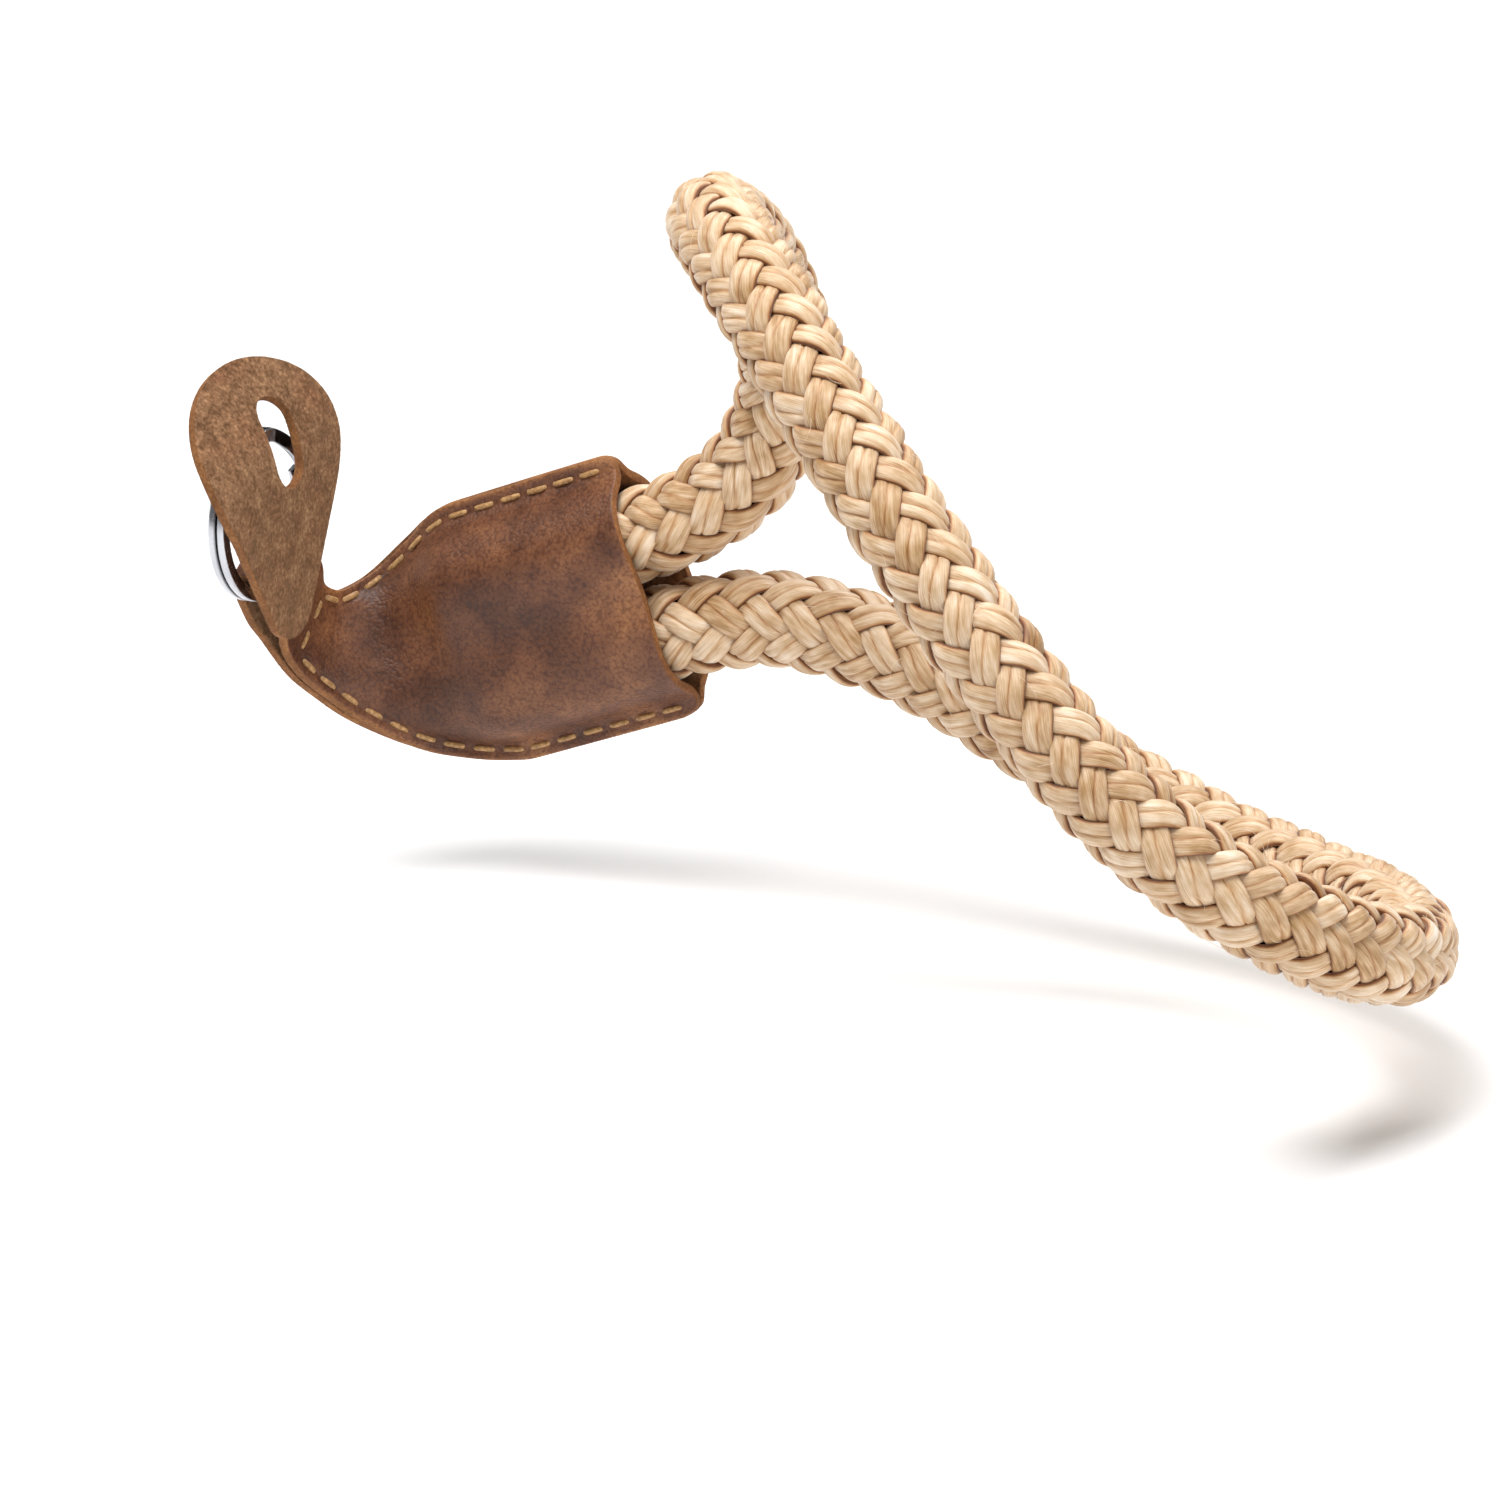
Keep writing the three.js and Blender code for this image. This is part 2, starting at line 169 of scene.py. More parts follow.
def smooth_line(route):
    """The natural cubic spline through the route, sampled at even steps along its length."""
    points = np.array(route)
    knots = np.r_[0, np.cumsum(np.sqrt(np.linalg.norm(np.diff(points, axis=0), axis=1)))]
    gaps = np.diff(knots)
    count = len(points)
    system = np.eye(count)
    right = np.zeros((count, 3))
    slopes = np.diff(points, axis=0) / gaps[:, None]
    for i in range(1, count - 1):
        system[i, i - 1:i + 2] = gaps[i - 1], 2 * (gaps[i - 1] + gaps[i]), gaps[i]
        right[i] = 6 * (slopes[i] - slopes[i - 1])
    bends = np.linalg.solve(system, right)
    fine = []
    for i in range(count - 1):
        t = np.linspace(0, gaps[i], SPLINE_SAMPLES, endpoint=i == count - 2)[:, None]
        before, after = bends[i], bends[i + 1]
        start_slope = slopes[i] - gaps[i] * (2 * before + after) / 6
        curve = before * t**2 / 2 + (after - before) * t**3 / (6 * gaps[i])
        fine.append(points[i] + start_slope * t + curve)
    fine = np.vstack(fine)
    along = np.r_[0, np.cumsum(np.linalg.norm(np.diff(fine, axis=0), axis=1))]
    even = np.linspace(0, along[-1], int(along[-1] / LINE_STEP) + 1)
    return even, np.column_stack([np.interp(even, along, fine[:, k]) for k in range(3)])


def line_frames(points):
    """Two directions square to the line that turn about it as little as they can."""
    tangents = np.gradient(points, axis=0)
    tangents /= np.linalg.norm(tangents, axis=1)[:, None]
    sideways = np.zeros_like(points)
    first = np.cross(tangents[0], (0, 0, 1))
    sideways[0] = first / np.linalg.norm(first)
    for i in range(len(points) - 1):
        step = points[i + 1] - points[i]
        size = step @ step
        moved = sideways[i] - 2 / size * (step @ sideways[i]) * step
        leaning = tangents[i] - 2 / size * (step @ tangents[i]) * step
        turn = tangents[i + 1] - leaning
        size = max(turn @ turn, 1e-18)
        sideways[i + 1] = moved - 2 / size * (turn @ moved) * turn
    return sideways, np.cross(tangents, sideways)


LINE_ALONG, LINE_POINTS = smooth_line(ROPE_ROUTE)
LINE_SIDE, LINE_OVER = line_frames(LINE_POINTS)
ROPE_LENGTH = float(LINE_ALONG[-1])
LINE_TURN = np.radians(np.interp(LINE_ALONG / MM, *zip(*BRAID_TURNS)))
# The braid's own measure of places along the rope.
LINE_BRAID = LINE_ALONG + np.interp(LINE_ALONG / MM, *zip(*BRAID_AHEAD)) * MM


def on_rope(along, angle, radius):
    """Points at a place along the rope, an angle round the braid and a distance from its line."""
    along = np.asarray(along)

    def read(table):
        return np.stack([np.interp(along, LINE_ALONG, table[:, k]) for k in range(3)], -1)

    turned = angle + np.interp(along, LINE_ALONG, LINE_TURN)
    out = np.cos(turned)[..., None] * read(LINE_SIDE) + np.sin(turned)[..., None] * read(LINE_OVER)
    return read(LINE_POINTS) + out * np.asarray(radius)[..., None]


# ---------------------------------------------------------------- rope: its strands

STRANDS = 8  # each way round
WALES = STRANDS // 2  # how often one way's strands come to the top, round the rope
PITCH = 4.7 * MM  # from one strand to the next of the same way, along the rope
LEAD = PITCH * STRANDS  # one full turn of a strand
FLOAT_REPEAT = LEAD / WALES  # from one time on top to the next, along one strand
BRAID_START = 143.8 * MM  # where a strand's middle crosses the braid's zero angle
MID_RADIUS = 4.02 * MM
WEAVE_HEIGHT = 0.86 * MM
STRAND_WIDTH = 3.25 * MM
STRAND_THICKNESS = 1.3 * MM
CREASE_DEPTH = 0.2 * MM  # between a strand's two yarns
CREASE_WIDTH = 0.14 * MM
CREASE_KNOTS = 0.35  # how often the crease changes course, in repeats
STRAND_MARGIN = 0.6 * MM  # strands stop this far before the rope's ends
FLATNESS = 0.35  # of a strand's wave up and down: 0 is a plain wave
# How far a strand wanders from its even course, in metres, radians or shares.
WANDER = {
    "height": 0.05 * MM, "width": 0.04, "thickness": 0.05, "tilt": math.radians(5),
    "crease": 0.16 * MM, "crease_depth": 0.3, "sideways": 0.06 * MM,
}
# Places along one repeat: close together on top, far apart where the strand is covered.
REPEAT_PLACES = (
    -0.28, -0.235, -0.19, -0.14, -0.09, -0.03, 0.03, 0.09, 0.14, 0.19, 0.235, 0.28, 0.39, 0.61,
)
# A strand's section, from one edge over the top to the other, with one point underneath.
SECTION_ACROSS = np.array((
    -0.97, -1.0, -0.93, -0.8, -0.62, -0.42, -0.25, -0.12, 0.0,
    0.12, 0.25, 0.42, 0.62, 0.8, 0.93, 1.0, 0.97, 0.0,
))
SECTION_UP = np.array((
    -0.3, 0.1, 0.5, 0.73, 0.88, 0.96, 0.99, 1.0, 1.0,
    1.0, 0.99, 0.96, 0.88, 0.73, 0.5, 0.1, -0.3, -0.9,
))


def strand_places(way, index):
    """Where along the rope this strand's rings go, and its phase there, 0 in the middle of a float."""
    shift = index / 2 if way > 0 else 0.5 - (index + 0.5) / 2
    first = int((0 - BRAID_START) / FLOAT_REPEAT + shift) - 2
    last = int((ROPE_LENGTH - BRAID_START) / FLOAT_REPEAT + shift) + 2
    places = np.array([turn + place for turn in range(first, last) for place in REPEAT_PLACES])
    along = BRAID_START + (places - shift) * FLOAT_REPEAT
    inside = (along > LINE_BRAID[0] + STRAND_MARGIN) & (along < LINE_BRAID[-1] - STRAND_MARGIN)
    return along[inside], places[inside]


def wander(rng, places, size, every=0.5):
    """A smooth random value that changes along a strand."""
    knots = np.arange(math.floor(places[0]) - 1, math.ceil(places[-1]) + 2, every)
    return np.interp(places, knots, rng.normal(0, size, len(knots)))


def strand_rings(way, index, rng):
    """The rings of points of one strand: two soft yarns side by side, with a crease between them."""
    along, places = strand_places(way, index)
    height = np.tanh(FLATNESS * np.cos(2 * np.pi * places)) / math.tanh(FLATNESS)
    over = 0.5 + 0.5 * height
    even_turn = 2 * np.pi * (along - BRAID_START) / LEAD
    angle = way * even_turn + 2 * np.pi * (index + (0 if way > 0 else 0.5)) / STRANDS
    centre = MID_RADIUS + WEAVE_HEIGHT * height + wander(rng, places, WANDER["height"])
    half = STRAND_WIDTH / 2 * (0.9 + 0.1 * over) * (1 + wander(rng, places, WANDER["width"]))
    thick = STRAND_THICKNESS / 2 * (1 + wander(rng, places, WANDER["thickness"]))
    tilt = wander(rng, places, WANDER["tilt"])[:, None]
    across = half[:, None] * SECTION_ACROSS
    crease_at = wander(rng, places, WANDER["crease"], CREASE_KNOTS)
    crease = np.exp(-((across - crease_at[:, None]) / CREASE_WIDTH) ** 2)
    top = SECTION_UP > 0
    depth = CREASE_DEPTH * (1 + wander(rng, places, WANDER["crease_depth"]))
    up = thick[:, None] * SECTION_UP - top * crease * depth[:, None]
    sideways = wander(rng, places, WANDER["sideways"])
    turned = across * np.cos(tilt) - up * np.sin(tilt) + sideways[:, None]
    raised = across * np.sin(tilt) + up * np.cos(tilt)
    lean = np.arctan2(2 * np.pi * centre, LEAD)[:, None]
    ring_along = along[:, None] - way * turned * np.sin(lean)
    ring_angle = angle[:, None] + turned * np.cos(lean) / centre[:, None]
    places_on_line = np.interp(ring_along, LINE_BRAID, LINE_ALONG)
    points = on_rope(places_on_line, ring_angle, centre[:, None] + raised)
    # How far each point is down in a hollow, for the painted shade there: the strand's edges, and the
    # crease on its top.
    edge = np.clip((np.abs(SECTION_ACROSS) - 0.88) / 0.12, 0, 1) * 0.95
    return points, along, over, np.maximum(edge, 0.6 * crease * top)


def tube_faces(rings, sides, start=0):
    """Quads between rings of points, wound so that they face out, and a cap at each end."""
    ring = np.arange(rings - 1)[:, None] * sides + start
    side = np.arange(sides)[None, :]
    following = (side + 1) % sides
    quads = np.stack([ring + side, ring + following, ring + sides + following, ring + sides + side], -1)
    faces = [tuple(face) for face in quads.reshape(-1, 4).tolist()]
    last = start + (rings - 1) * sides
    faces.append(tuple(range(start + sides - 1, start - 1, -1)))
    faces.append(tuple(range(last, last + sides)))
    return faces


YARN_TRAVEL = 1.25  # a strand's own length for each millimetre along the rope
YARN_SLANT = {1: 0.2, -1: -0.14}  # the yarns' own twist, for the strands of either way
YARN_SHIFT = (0.5, 0.011)  # between strands' places in the yarn map, so that none look alike
TONE_SPREAD = 0.4  # from strand to strand
TONE_WANDER = 0.9  # along one strand
ROW_GAP = 0.04  # at each side of a strand's row in the bake map


def strands_piece(name, way, seed, material):
    """All strands of one way round, with a yarn map, a bake map, a random tone, and depth for the painted
    shade in hollows and where a strand goes under.
    """
    rng = np.random.default_rng(seed)
    sides = len(SECTION_ACROSS)
    steps = np.hypot(np.diff(SECTION_ACROSS) * STRAND_WIDTH, np.diff(SECTION_UP) * STRAND_THICKNESS) / 2
    girth = np.r_[0, np.cumsum(steps)]
    girth = np.r_[girth, girth[-1] + STRAND_WIDTH / 2]
    points, faces, real, packed, tones = [], [], [], [], []
    start = 0
    for index in range(STRANDS):
        rings, along, over, hollow = strand_rings(way, index, rng)
        count = len(rings)
        middle = count // 2
        faces += tube_faces(count, sides, start)
        points.append(rings.reshape(-1, 3))
        tone = rng.normal(0, TONE_SPREAD) + wander(rng, along / FLOAT_REPEAT, TONE_WANDER)
        # Painted shade: darker in the hollows and where the strand goes under its neighbours.
        deep = np.maximum(hollow, np.clip((0.6 - over) / 0.48, 0, 1)[:, None])
        tones.append(np.column_stack([np.repeat(tone, sides), deep.ravel()]))
        travel = along * YARN_TRAVEL
        slanted = index * YARN_SHIFT[1] + YARN_SLANT[way] * travel
        for r in range(count - 1):
            # In the bake map each strand is two rows, one for each half of its length.
            half = 0 if r < middle else 1
            for k in range(sides):
                for dr, dk in ((0, 0), (0, 1), (1, 1), (1, 0)):
                    along_yarn = travel[r + dr] + index * YARN_SHIFT[0]
                    real.append((along_yarn, girth[k + dk] + slanted[r + dr]))
                    place = (r + dr - half * middle) / (count - middle + 1)
                    row = 2 * index + half + ROW_GAP + (1 - 2 * ROW_GAP) * (k + dk) / sides
                    packed.append((place, row / (2 * STRANDS)))
        for _ in range(2 * sides):  # the two end caps
            real.append((0.0, 0.0))
            packed.append((0.001, (2 * index + 0.5) / (2 * STRANDS)))
        start += count * sides
    piece = mesh_piece(name, np.vstack(points), faces, material)
    for label, values in (("yarn", real), ("OFBake", packed)):
        layer = piece.data.uv_layers.new(name=label).data
        layer.foreach_set("uv", np.array(values, np.float32).ravel())
    for label, values in zip(("tone", "deep"), np.vstack(tones).T):
        give_attribute(piece, label, values)
    return finish_piece(piece)


# Viscose filament yarn: long, smooth, bright fibres laid side by side. The eye sees fine lines
# along each yarn, a silky band of light across its crown, and warm brown painted shade in the gaps.
def filament_yarn():
    m = new_material("viscose_filament_yarn")
    uv = node(m, "ShaderNodeUVMap", {"uv_map": "yarn"}).outputs["UV"]
    # Fibres are far finer than this; they are drawn in bundles 0.1 mm wide so that they show.
    fine = node(
        m, "ShaderNodeMapping", {"Scale": (0.26 / MM, 9.5 / MM, 1)}, Vector=uv,
    ).outputs["Vector"]
    broad = node(
        m, "ShaderNodeMapping", {"Scale": (0.15 / MM, 1.9 / MM, 1)}, Vector=uv,
    ).outputs["Vector"]
    fine_lines = node(
        m, "ShaderNodeTexNoise", {"Scale": 1.0, "Detail": 3.0, "Roughness": 0.6}, Vector=fine,
    ).outputs["Fac"]
    broad_lines = node(
        m, "ShaderNodeTexNoise", {"Scale": 1.0, "Detail": 2.0, "Roughness": 0.5}, Vector=broad,
    ).outputs["Fac"]
    lines = node(
        m, "ShaderNodeMix", {"data_type": "FLOAT", "Factor": 0.4}, _2=fine_lines, _3=broad_lines,
    ).outputs[0]
    patchy = node(
        m, "ShaderNodeMapping", {"Scale": (0.42 / MM, 1.0 / MM, 1), "Location": (3, 7, 0)}, Vector=uv,
    ).outputs["Vector"]
    patches = node(m, "ShaderNodeTexNoise", {"Scale": 1.0, "Detail": 2.0}, Vector=patchy).outputs["Fac"]
    both = node(
        m, "ShaderNodeMix", {"data_type": "FLOAT", "Factor": 0.38}, _2=lines, _3=patches,
    ).outputs[0]
    tone = node(m, "ShaderNodeAttribute", {"attribute_name": "tone"}).outputs["Fac"]
    deep = node(m, "ShaderNodeAttribute", {"attribute_name": "deep"}).outputs["Fac"]
    shade = node(
        m, "ShaderNodeMath", {"operation": "MULTIPLY_ADD", 1: 0.05}, _0=tone, _2=both,
    ).outputs[0]
    colour = node(
        m, "ShaderNodeValToRGB",
        {"stops": (
            (0.24, "#7D5129"), (0.38, "#A9814F"), (0.48, "#C6A37B"), (0.58, "#DBC09F"), (0.74, "#F1E4D3"),
        )},
        _0=shade,
    ).outputs["Color"]
    # Painted shade: the deeper a point lies in a hollow or under its neighbours, the darker and browner
    # it is.
    depth = node(
        m, "ShaderNodeValToRGB",
        {"stops": ((0.0, "#FFFFFF"), (0.3, "#F6E8D6"), (0.65, "#C99F74"), (1.0, "#704420"))},
        _0=deep,
    ).outputs["Color"]
    # The yarn's colour with its painted shade multiplied in.
    worn = node(
        m, "ShaderNodeMix", {"data_type": "RGBA", "blend_type": "MULTIPLY", "Factor": 1.0},
        _6=colour, _7=depth,
    ).outputs[2]
    bump = node(
        m, "ShaderNodeBump", {"Strength": 0.9, "Distance": 0.00014}, Height=lines,
    ).outputs["Normal"]
    shader = node(
        m, "ShaderNodeBsdfPrincipled",
        {"Roughness": 0.46, "Sheen Weight": 0.3, "Sheen Roughness": 0.4, "Specular IOR Level": 0.55},
        Base_Color=worn, Normal=bump,
    )
    node(m, "ShaderNodeOutputMaterial", Surface=shader.outputs[0])
    return m


# The braid's filler: a soft twisted bundle of the same yarn, coloured dark brown as painted shade, as it
# is seen only in the gaps.
def twisted_filler():
    m = new_material("twisted_filler_yarn")
    place = node(m, "ShaderNodeTexCoord").outputs["Object"]
    grain = node(m, "ShaderNodeTexNoise", {"Scale": 900.0, "Detail": 2.0}, Vector=place).outputs["Fac"]
    # Painted shade: dark brown in place of the yarn's own tan.
    colour = node(
        m, "ShaderNodeValToRGB", {"stops": ((0.3, "#3A2412"), (0.7, "#6B4726"))}, _0=grain,
    ).outputs["Color"]
    shader = node(m, "ShaderNodeBsdfPrincipled", {"Roughness": 0.9}, Base_Color=colour)
    node(m, "ShaderNodeOutputMaterial", Surface=shader.outputs[0])
    return m


FILLER_RADIUS = 3.3 * MM
FILLER_SIDES = 16
FILLER_RINGS = 260
FILLER_MARGIN = 0.8 * MM  # it stops this far before the rope's ends


def filler_piece(material):
    along = np.linspace(FILLER_MARGIN, ROPE_LENGTH - FILLER_MARGIN, FILLER_RINGS)
    angles = np.arange(FILLER_SIDES) * 2 * np.pi / FILLER_SIDES
    rings = on_rope(along[:, None], angles, FILLER_RADIUS)
    faces = tube_faces(FILLER_RINGS, FILLER_SIDES)
    return finish_piece(mesh_piece("rope_filler", rings.reshape(-1, 3), faces, material))


FIBRES = 240
LONG_FIBRES = 5
FIBRE_RADIUS = 0.028 * MM
FIBRE_POINTS = 10
FIBRE_SIDES = 4
FIBRE_ROOT = 0.25 * MM  # how far under the rope's outside a fibre starts


def fibre_course(rng, long_one):
    """A fibre's start along the rope, its length, how far it lifts, and its angle round the rope."""
    if long_one:
        return (
            rng.uniform(196, 203) * MM, rng.uniform(7, 12) * MM,
            rng.uniform(2.0, 3.6) * MM, rng.uniform(-2.6, -1.2),
        )
    return (
        rng.uniform(0.03, 0.345), rng.uniform(1.5, 4.5) * MM,
        abs(rng.normal(0, 0.35)) * MM, rng.uniform(0, 2 * math.pi),
    )


def fibre_rings(rng, long_one):
    """One fibre as thin four-sided rings that taper to its end."""
    t = np.linspace(0, 1, FIBRE_POINTS)
    start, length, lift, angle = fibre_course(rng, long_one)
    heading = rng.uniform(0, 2 * math.pi)
    curl = rng.uniform(-2.2, 2.2)
    turned = heading + curl * t
    along = start + np.cumsum(np.cos(turned)) * length / FIBRE_POINTS
    around = angle + np.cumsum(np.sin(turned)) * length / FIBRE_POINTS / ROPE_RADIUS
    free_end = rng.random() < 0.6
    rise = t**1.6 if free_end else np.sin(np.pi * t)
    radius = ROPE_RADIUS - FIBRE_ROOT + lift * rise + rng.uniform(0, 0.2) * MM * np.minimum(4 * t, 1)
    line = on_rope(np.clip(along, MM, ROPE_LENGTH - MM), around, radius)
    tangent = np.gradient(line, axis=0)
    side = np.cross(tangent, (0.3, 0.2, 0.93))  # any direction that no fibre runs along
    side /= np.linalg.norm(side, axis=1)[:, None]
    over = np.cross(side, tangent)
    over /= np.linalg.norm(over, axis=1)[:, None]
    thin = FIBRE_RADIUS * (1 - 0.5 * t)
    turn = (np.arange(FIBRE_SIDES) * math.pi / 2)[None, :, None]
    out = np.cos(turn) * side[:, None] + np.sin(turn) * over[:, None]
    return line[:, None] + thin[:, None, None] * out


def stray_fibres(material):
    """Single filaments that have worked loose: most lie close along the rope, a few stand off."""
    rng = np.random.default_rng(8)
    rings = [fibre_rings(rng, number < LONG_FIBRES) for number in range(FIBRES)]
    size = FIBRE_POINTS * FIBRE_SIDES
    faces = sum((tube_faces(FIBRE_POINTS, FIBRE_SIDES, size * number) for number in range(FIBRES)), [])
    piece = mesh_piece("rope_loose_fibres", np.vstack(rings).reshape(-1, 3), faces, material)
    work = bmesh.new()
    work.from_mesh(piece.data)
    bmesh.ops.recalc_face_normals(work, faces=work.faces)
    work.to_mesh(piece.data)
    work.free()
    return finish_piece(piece)


# One loose filament: smooth and pale, bright where the light catches it.
def loose_filament():
    m = new_material("loose_viscose_filament")
    place = node(m, "ShaderNodeTexCoord").outputs["Object"]
    patches = node(m, "ShaderNodeTexNoise", {"Scale": 400.0}, Vector=place).outputs["Fac"]
    colour = node(
        m, "ShaderNodeValToRGB", {"stops": ((0.3, "#D9BC96"), (0.7, "#F4E4CC"))}, _0=patches,
    ).outputs["Color"]
    shader = node(m, "ShaderNodeBsdfPrincipled", {"Roughness": 0.45}, Base_Color=colour)
    node(m, "ShaderNodeOutputMaterial", Surface=shader.outputs[0])
    return m


yarn = filament_yarn()
strands_one = strands_piece("rope_strands_right", 1, 11, yarn)
strands_other = strands_piece("rope_strands_left", -1, 12, yarn)
filler = filler_piece(twisted_filler())
fibres = stray_fibres(loose_filament())
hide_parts("rope_loop")

# ---------------------------------------------------------------- tools for the shaped pieces


def deselect_all():
    bpy.ops.object.select_all(action="DESELECT")


def work_on(piece):
    deselect_all()
    piece.select_set(True)
    bpy.context.view_layer.objects.active = piece


def apply_modifiers(piece):
    work_on(piece)
    for modifier in list(piece.modifiers):
        bpy.ops.object.modifier_apply(modifier=modifier.name)


def settle(piece):
    """Puts a piece's place into its mesh, so that its object sits at the origin."""
    work_on(piece)
    bpy.ops.object.transform_apply(location=True, rotation=True, scale=True)


def read_points(piece):
    points = np.empty(3 * len(piece.data.vertices))
    piece.data.vertices.foreach_get("co", points)
    return points.reshape(-1, 3)


def write_points(piece, points):
    piece.data.vertices.foreach_set("co", np.asarray(points).ravel())
    piece.data.update()


def give_thickness(piece, thickness, offset, slots, rounding, corner):
    """Makes a sheet into leather: a wall whose far side and rim use the materials that many slots
    on, rounded where its faces meet at more than the corner's angle, and then one step finer."""
    wall = piece.modifiers.new("wall", "SOLIDIFY")
    wall.thickness = thickness
    wall.offset = offset
    wall.use_even_offset = True
    wall.material_offset, wall.material_offset_rim = slots
    rounded = piece.modifiers.new("rounding", "BEVEL")
    rounded.width = rounding
    rounded.segments = 2
    rounded.limit_method = "ANGLE"
    rounded.angle_limit = math.radians(corner)
    finer = piece.modifiers.new("finer", "SUBSURF")
    finer.levels = finer.render_levels = 1
    apply_modifiers(piece)


def smooth_step(value):
    value = np.clip(value, 0, 1)
    return value * value * (3 - 2 * value)


# ---------------------------------------------------------------- split ring

RING_CENTRE = Vector((0.0, 0.0, -8.25)) * MM
RING_MIDDLE_RADIUS = 9.0 * MM
WIRE_DEEP = 1.5 * MM
WIRE_WIDE = 1.04 * MM
COIL_SPACING = 1.1 * MM
COIL_START = math.radians(112)  # where the wire begins, round from the ring's lowest point
COIL_ANGLE = math.radians(662)
COIL_STEPS = 180
CROSS_OVER = math.radians(46)  # the stretch in which the wire crosses from one coil to the other
WIRE_ROUNDING = 0.3 * MM
WIRE_GROUND = math.radians(16)  # the stretch at each end that is ground thin
WIRE_END_SHARE = 0.45  # of the wire's width that is left at its very end
GROOVE_WIDTH = 0.34 * MM  # how far in from the neighbouring coil the wire is painted dark as shade


def split_ring(material):
    """A flat wire's rounded section, spun nearly twice round, then led from coil to coil."""
    deselect_all()
    bpy.ops.mesh.primitive_plane_add(size=1, location=RING_CENTRE + Vector((0, 0, -RING_MIDDLE_RADIUS)))
    piece = bpy.context.object
    piece.name = "split_ring_wire"
    bpy.ops.object.mode_set(mode="EDIT")
    bpy.ops.transform.rotate(value=math.radians(90), orient_axis="X", center_override=piece.location)
    bpy.ops.transform.resize(value=(WIRE_WIDE, 1, WIRE_DEEP), center_override=piece.location)
    bpy.ops.mesh.bevel(offset=WIRE_ROUNDING, segments=4, affect="VERTICES")
    bpy.ops.transform.rotate(value=-COIL_START, orient_axis="X", center_override=RING_CENTRE)
    bpy.ops.object.mode_set(mode="OBJECT")
    section = len(piece.data.vertices)
    bpy.ops.object.mode_set(mode="EDIT")
    bpy.ops.mesh.spin(steps=COIL_STEPS, angle=COIL_ANGLE, center=RING_CENTRE, axis=(1, 0, 0))
    bpy.ops.mesh.select_all(action="SELECT")
    bpy.ops.mesh.normals_make_consistent(inside=False)
    bpy.ops.object.mode_set(mode="OBJECT")
    settle(piece)
    points = read_points(piece)
    around = np.arctan2(points[:, 1], -(points[:, 2] - RING_CENTRE.z))
    guess = COIL_START - np.arange(len(points)) / section / COIL_STEPS * COIL_ANGLE
    turn = guess + (around - guess + np.pi) % (2 * np.pi) - np.pi
    done = (COIL_START - turn) / COIL_ANGLE
    crossed = smooth_step((done - 0.5) * COIL_ANGLE / CROSS_OVER + 0.5)
    points[:, 0] += COIL_SPACING * (crossed - 0.5)
    # The wire's two ends are ground thin, so that a lug slides in between the coils.
    near_end = np.clip(np.minimum(done, 1 - done) * COIL_ANGLE / WIRE_GROUND, 0, 1)
    outer = np.where(done < 0.5, -1, 1) * (COIL_SPACING + WIRE_WIDE) / 2
    left = WIRE_END_SHARE + (1 - WIRE_END_SHARE) * near_end**0.7
    points[:, 0] = outer + (points[:, 0] - outer) * left
    write_points(piece, points)
    inwards = WIRE_WIDE - np.abs(points[:, 0] - outer)
    # Painted shade on the faces that look at the other coil, except at the ground ends.
    groove = smooth_step(1 - inwards / GROOVE_WIDTH) * (near_end > 0.5)
    give_attribute(piece, "groove", groove)
    piece.data.materials.append(material)
    work_on(piece)
    bpy.ops.object.shade_smooth_by_angle(angle=math.radians(40))
    return finish_piece(piece)


# Spring steel wire, rolled flat, coiled, tumbled and nickel plated: bright, a little soft in its
# reflections, with fine scuffs all over, and painted dark as shade where the two coils lie close.
def plated_steel():
    m = new_material("nickel_plated_spring_steel")
    place = node(m, "ShaderNodeTexCoord").outputs["Object"]
    marks = node(
        m, "ShaderNodeTexNoise", {"Scale": 900.0, "Detail": 4.0, "Roughness": 0.65}, Vector=place,
    ).outputs["Fac"]
    patches = node(
        m, "ShaderNodeTexNoise", {"Scale": 160.0, "Detail": 2.0}, Vector=place,
    ).outputs["Fac"]
    bright = node(
        m, "ShaderNodeValToRGB", {"stops": ((0.3, "#B4B4BA"), (0.7, "#C9CACF"))}, _0=patches,
    ).outputs["Color"]
    groove = node(m, "ShaderNodeAttribute", {"attribute_name": "groove"}).outputs["Fac"]
    # Painted shade: dark grey where the two coils lie against each other.
    colour = node(
        m, "ShaderNodeMix", {"data_type": "RGBA", 7: srgb("#3C3B3E")}, _0=groove, _6=bright,
    ).outputs[2]
    rough = node(
        m, "ShaderNodeMapRange", {"From Min": 0.3, "From Max": 0.7, "To Min": 0.18, "To Max": 0.3},
        Value=marks,
    ).outputs["Result"]
    bump = node(
        m, "ShaderNodeBump", {"Strength": 0.12, "Distance": 0.00004}, Height=marks,
    ).outputs["Normal"]
    shader = node(
        m, "ShaderNodeBsdfPrincipled", {"Metallic": 1.0},
        Base_Color=colour, Roughness=rough, Normal=bump,
    )
    node(m, "ShaderNodeOutputMaterial", Surface=shader.outputs[0])
    return m


# ---------------------------------------------------------------- protector pad

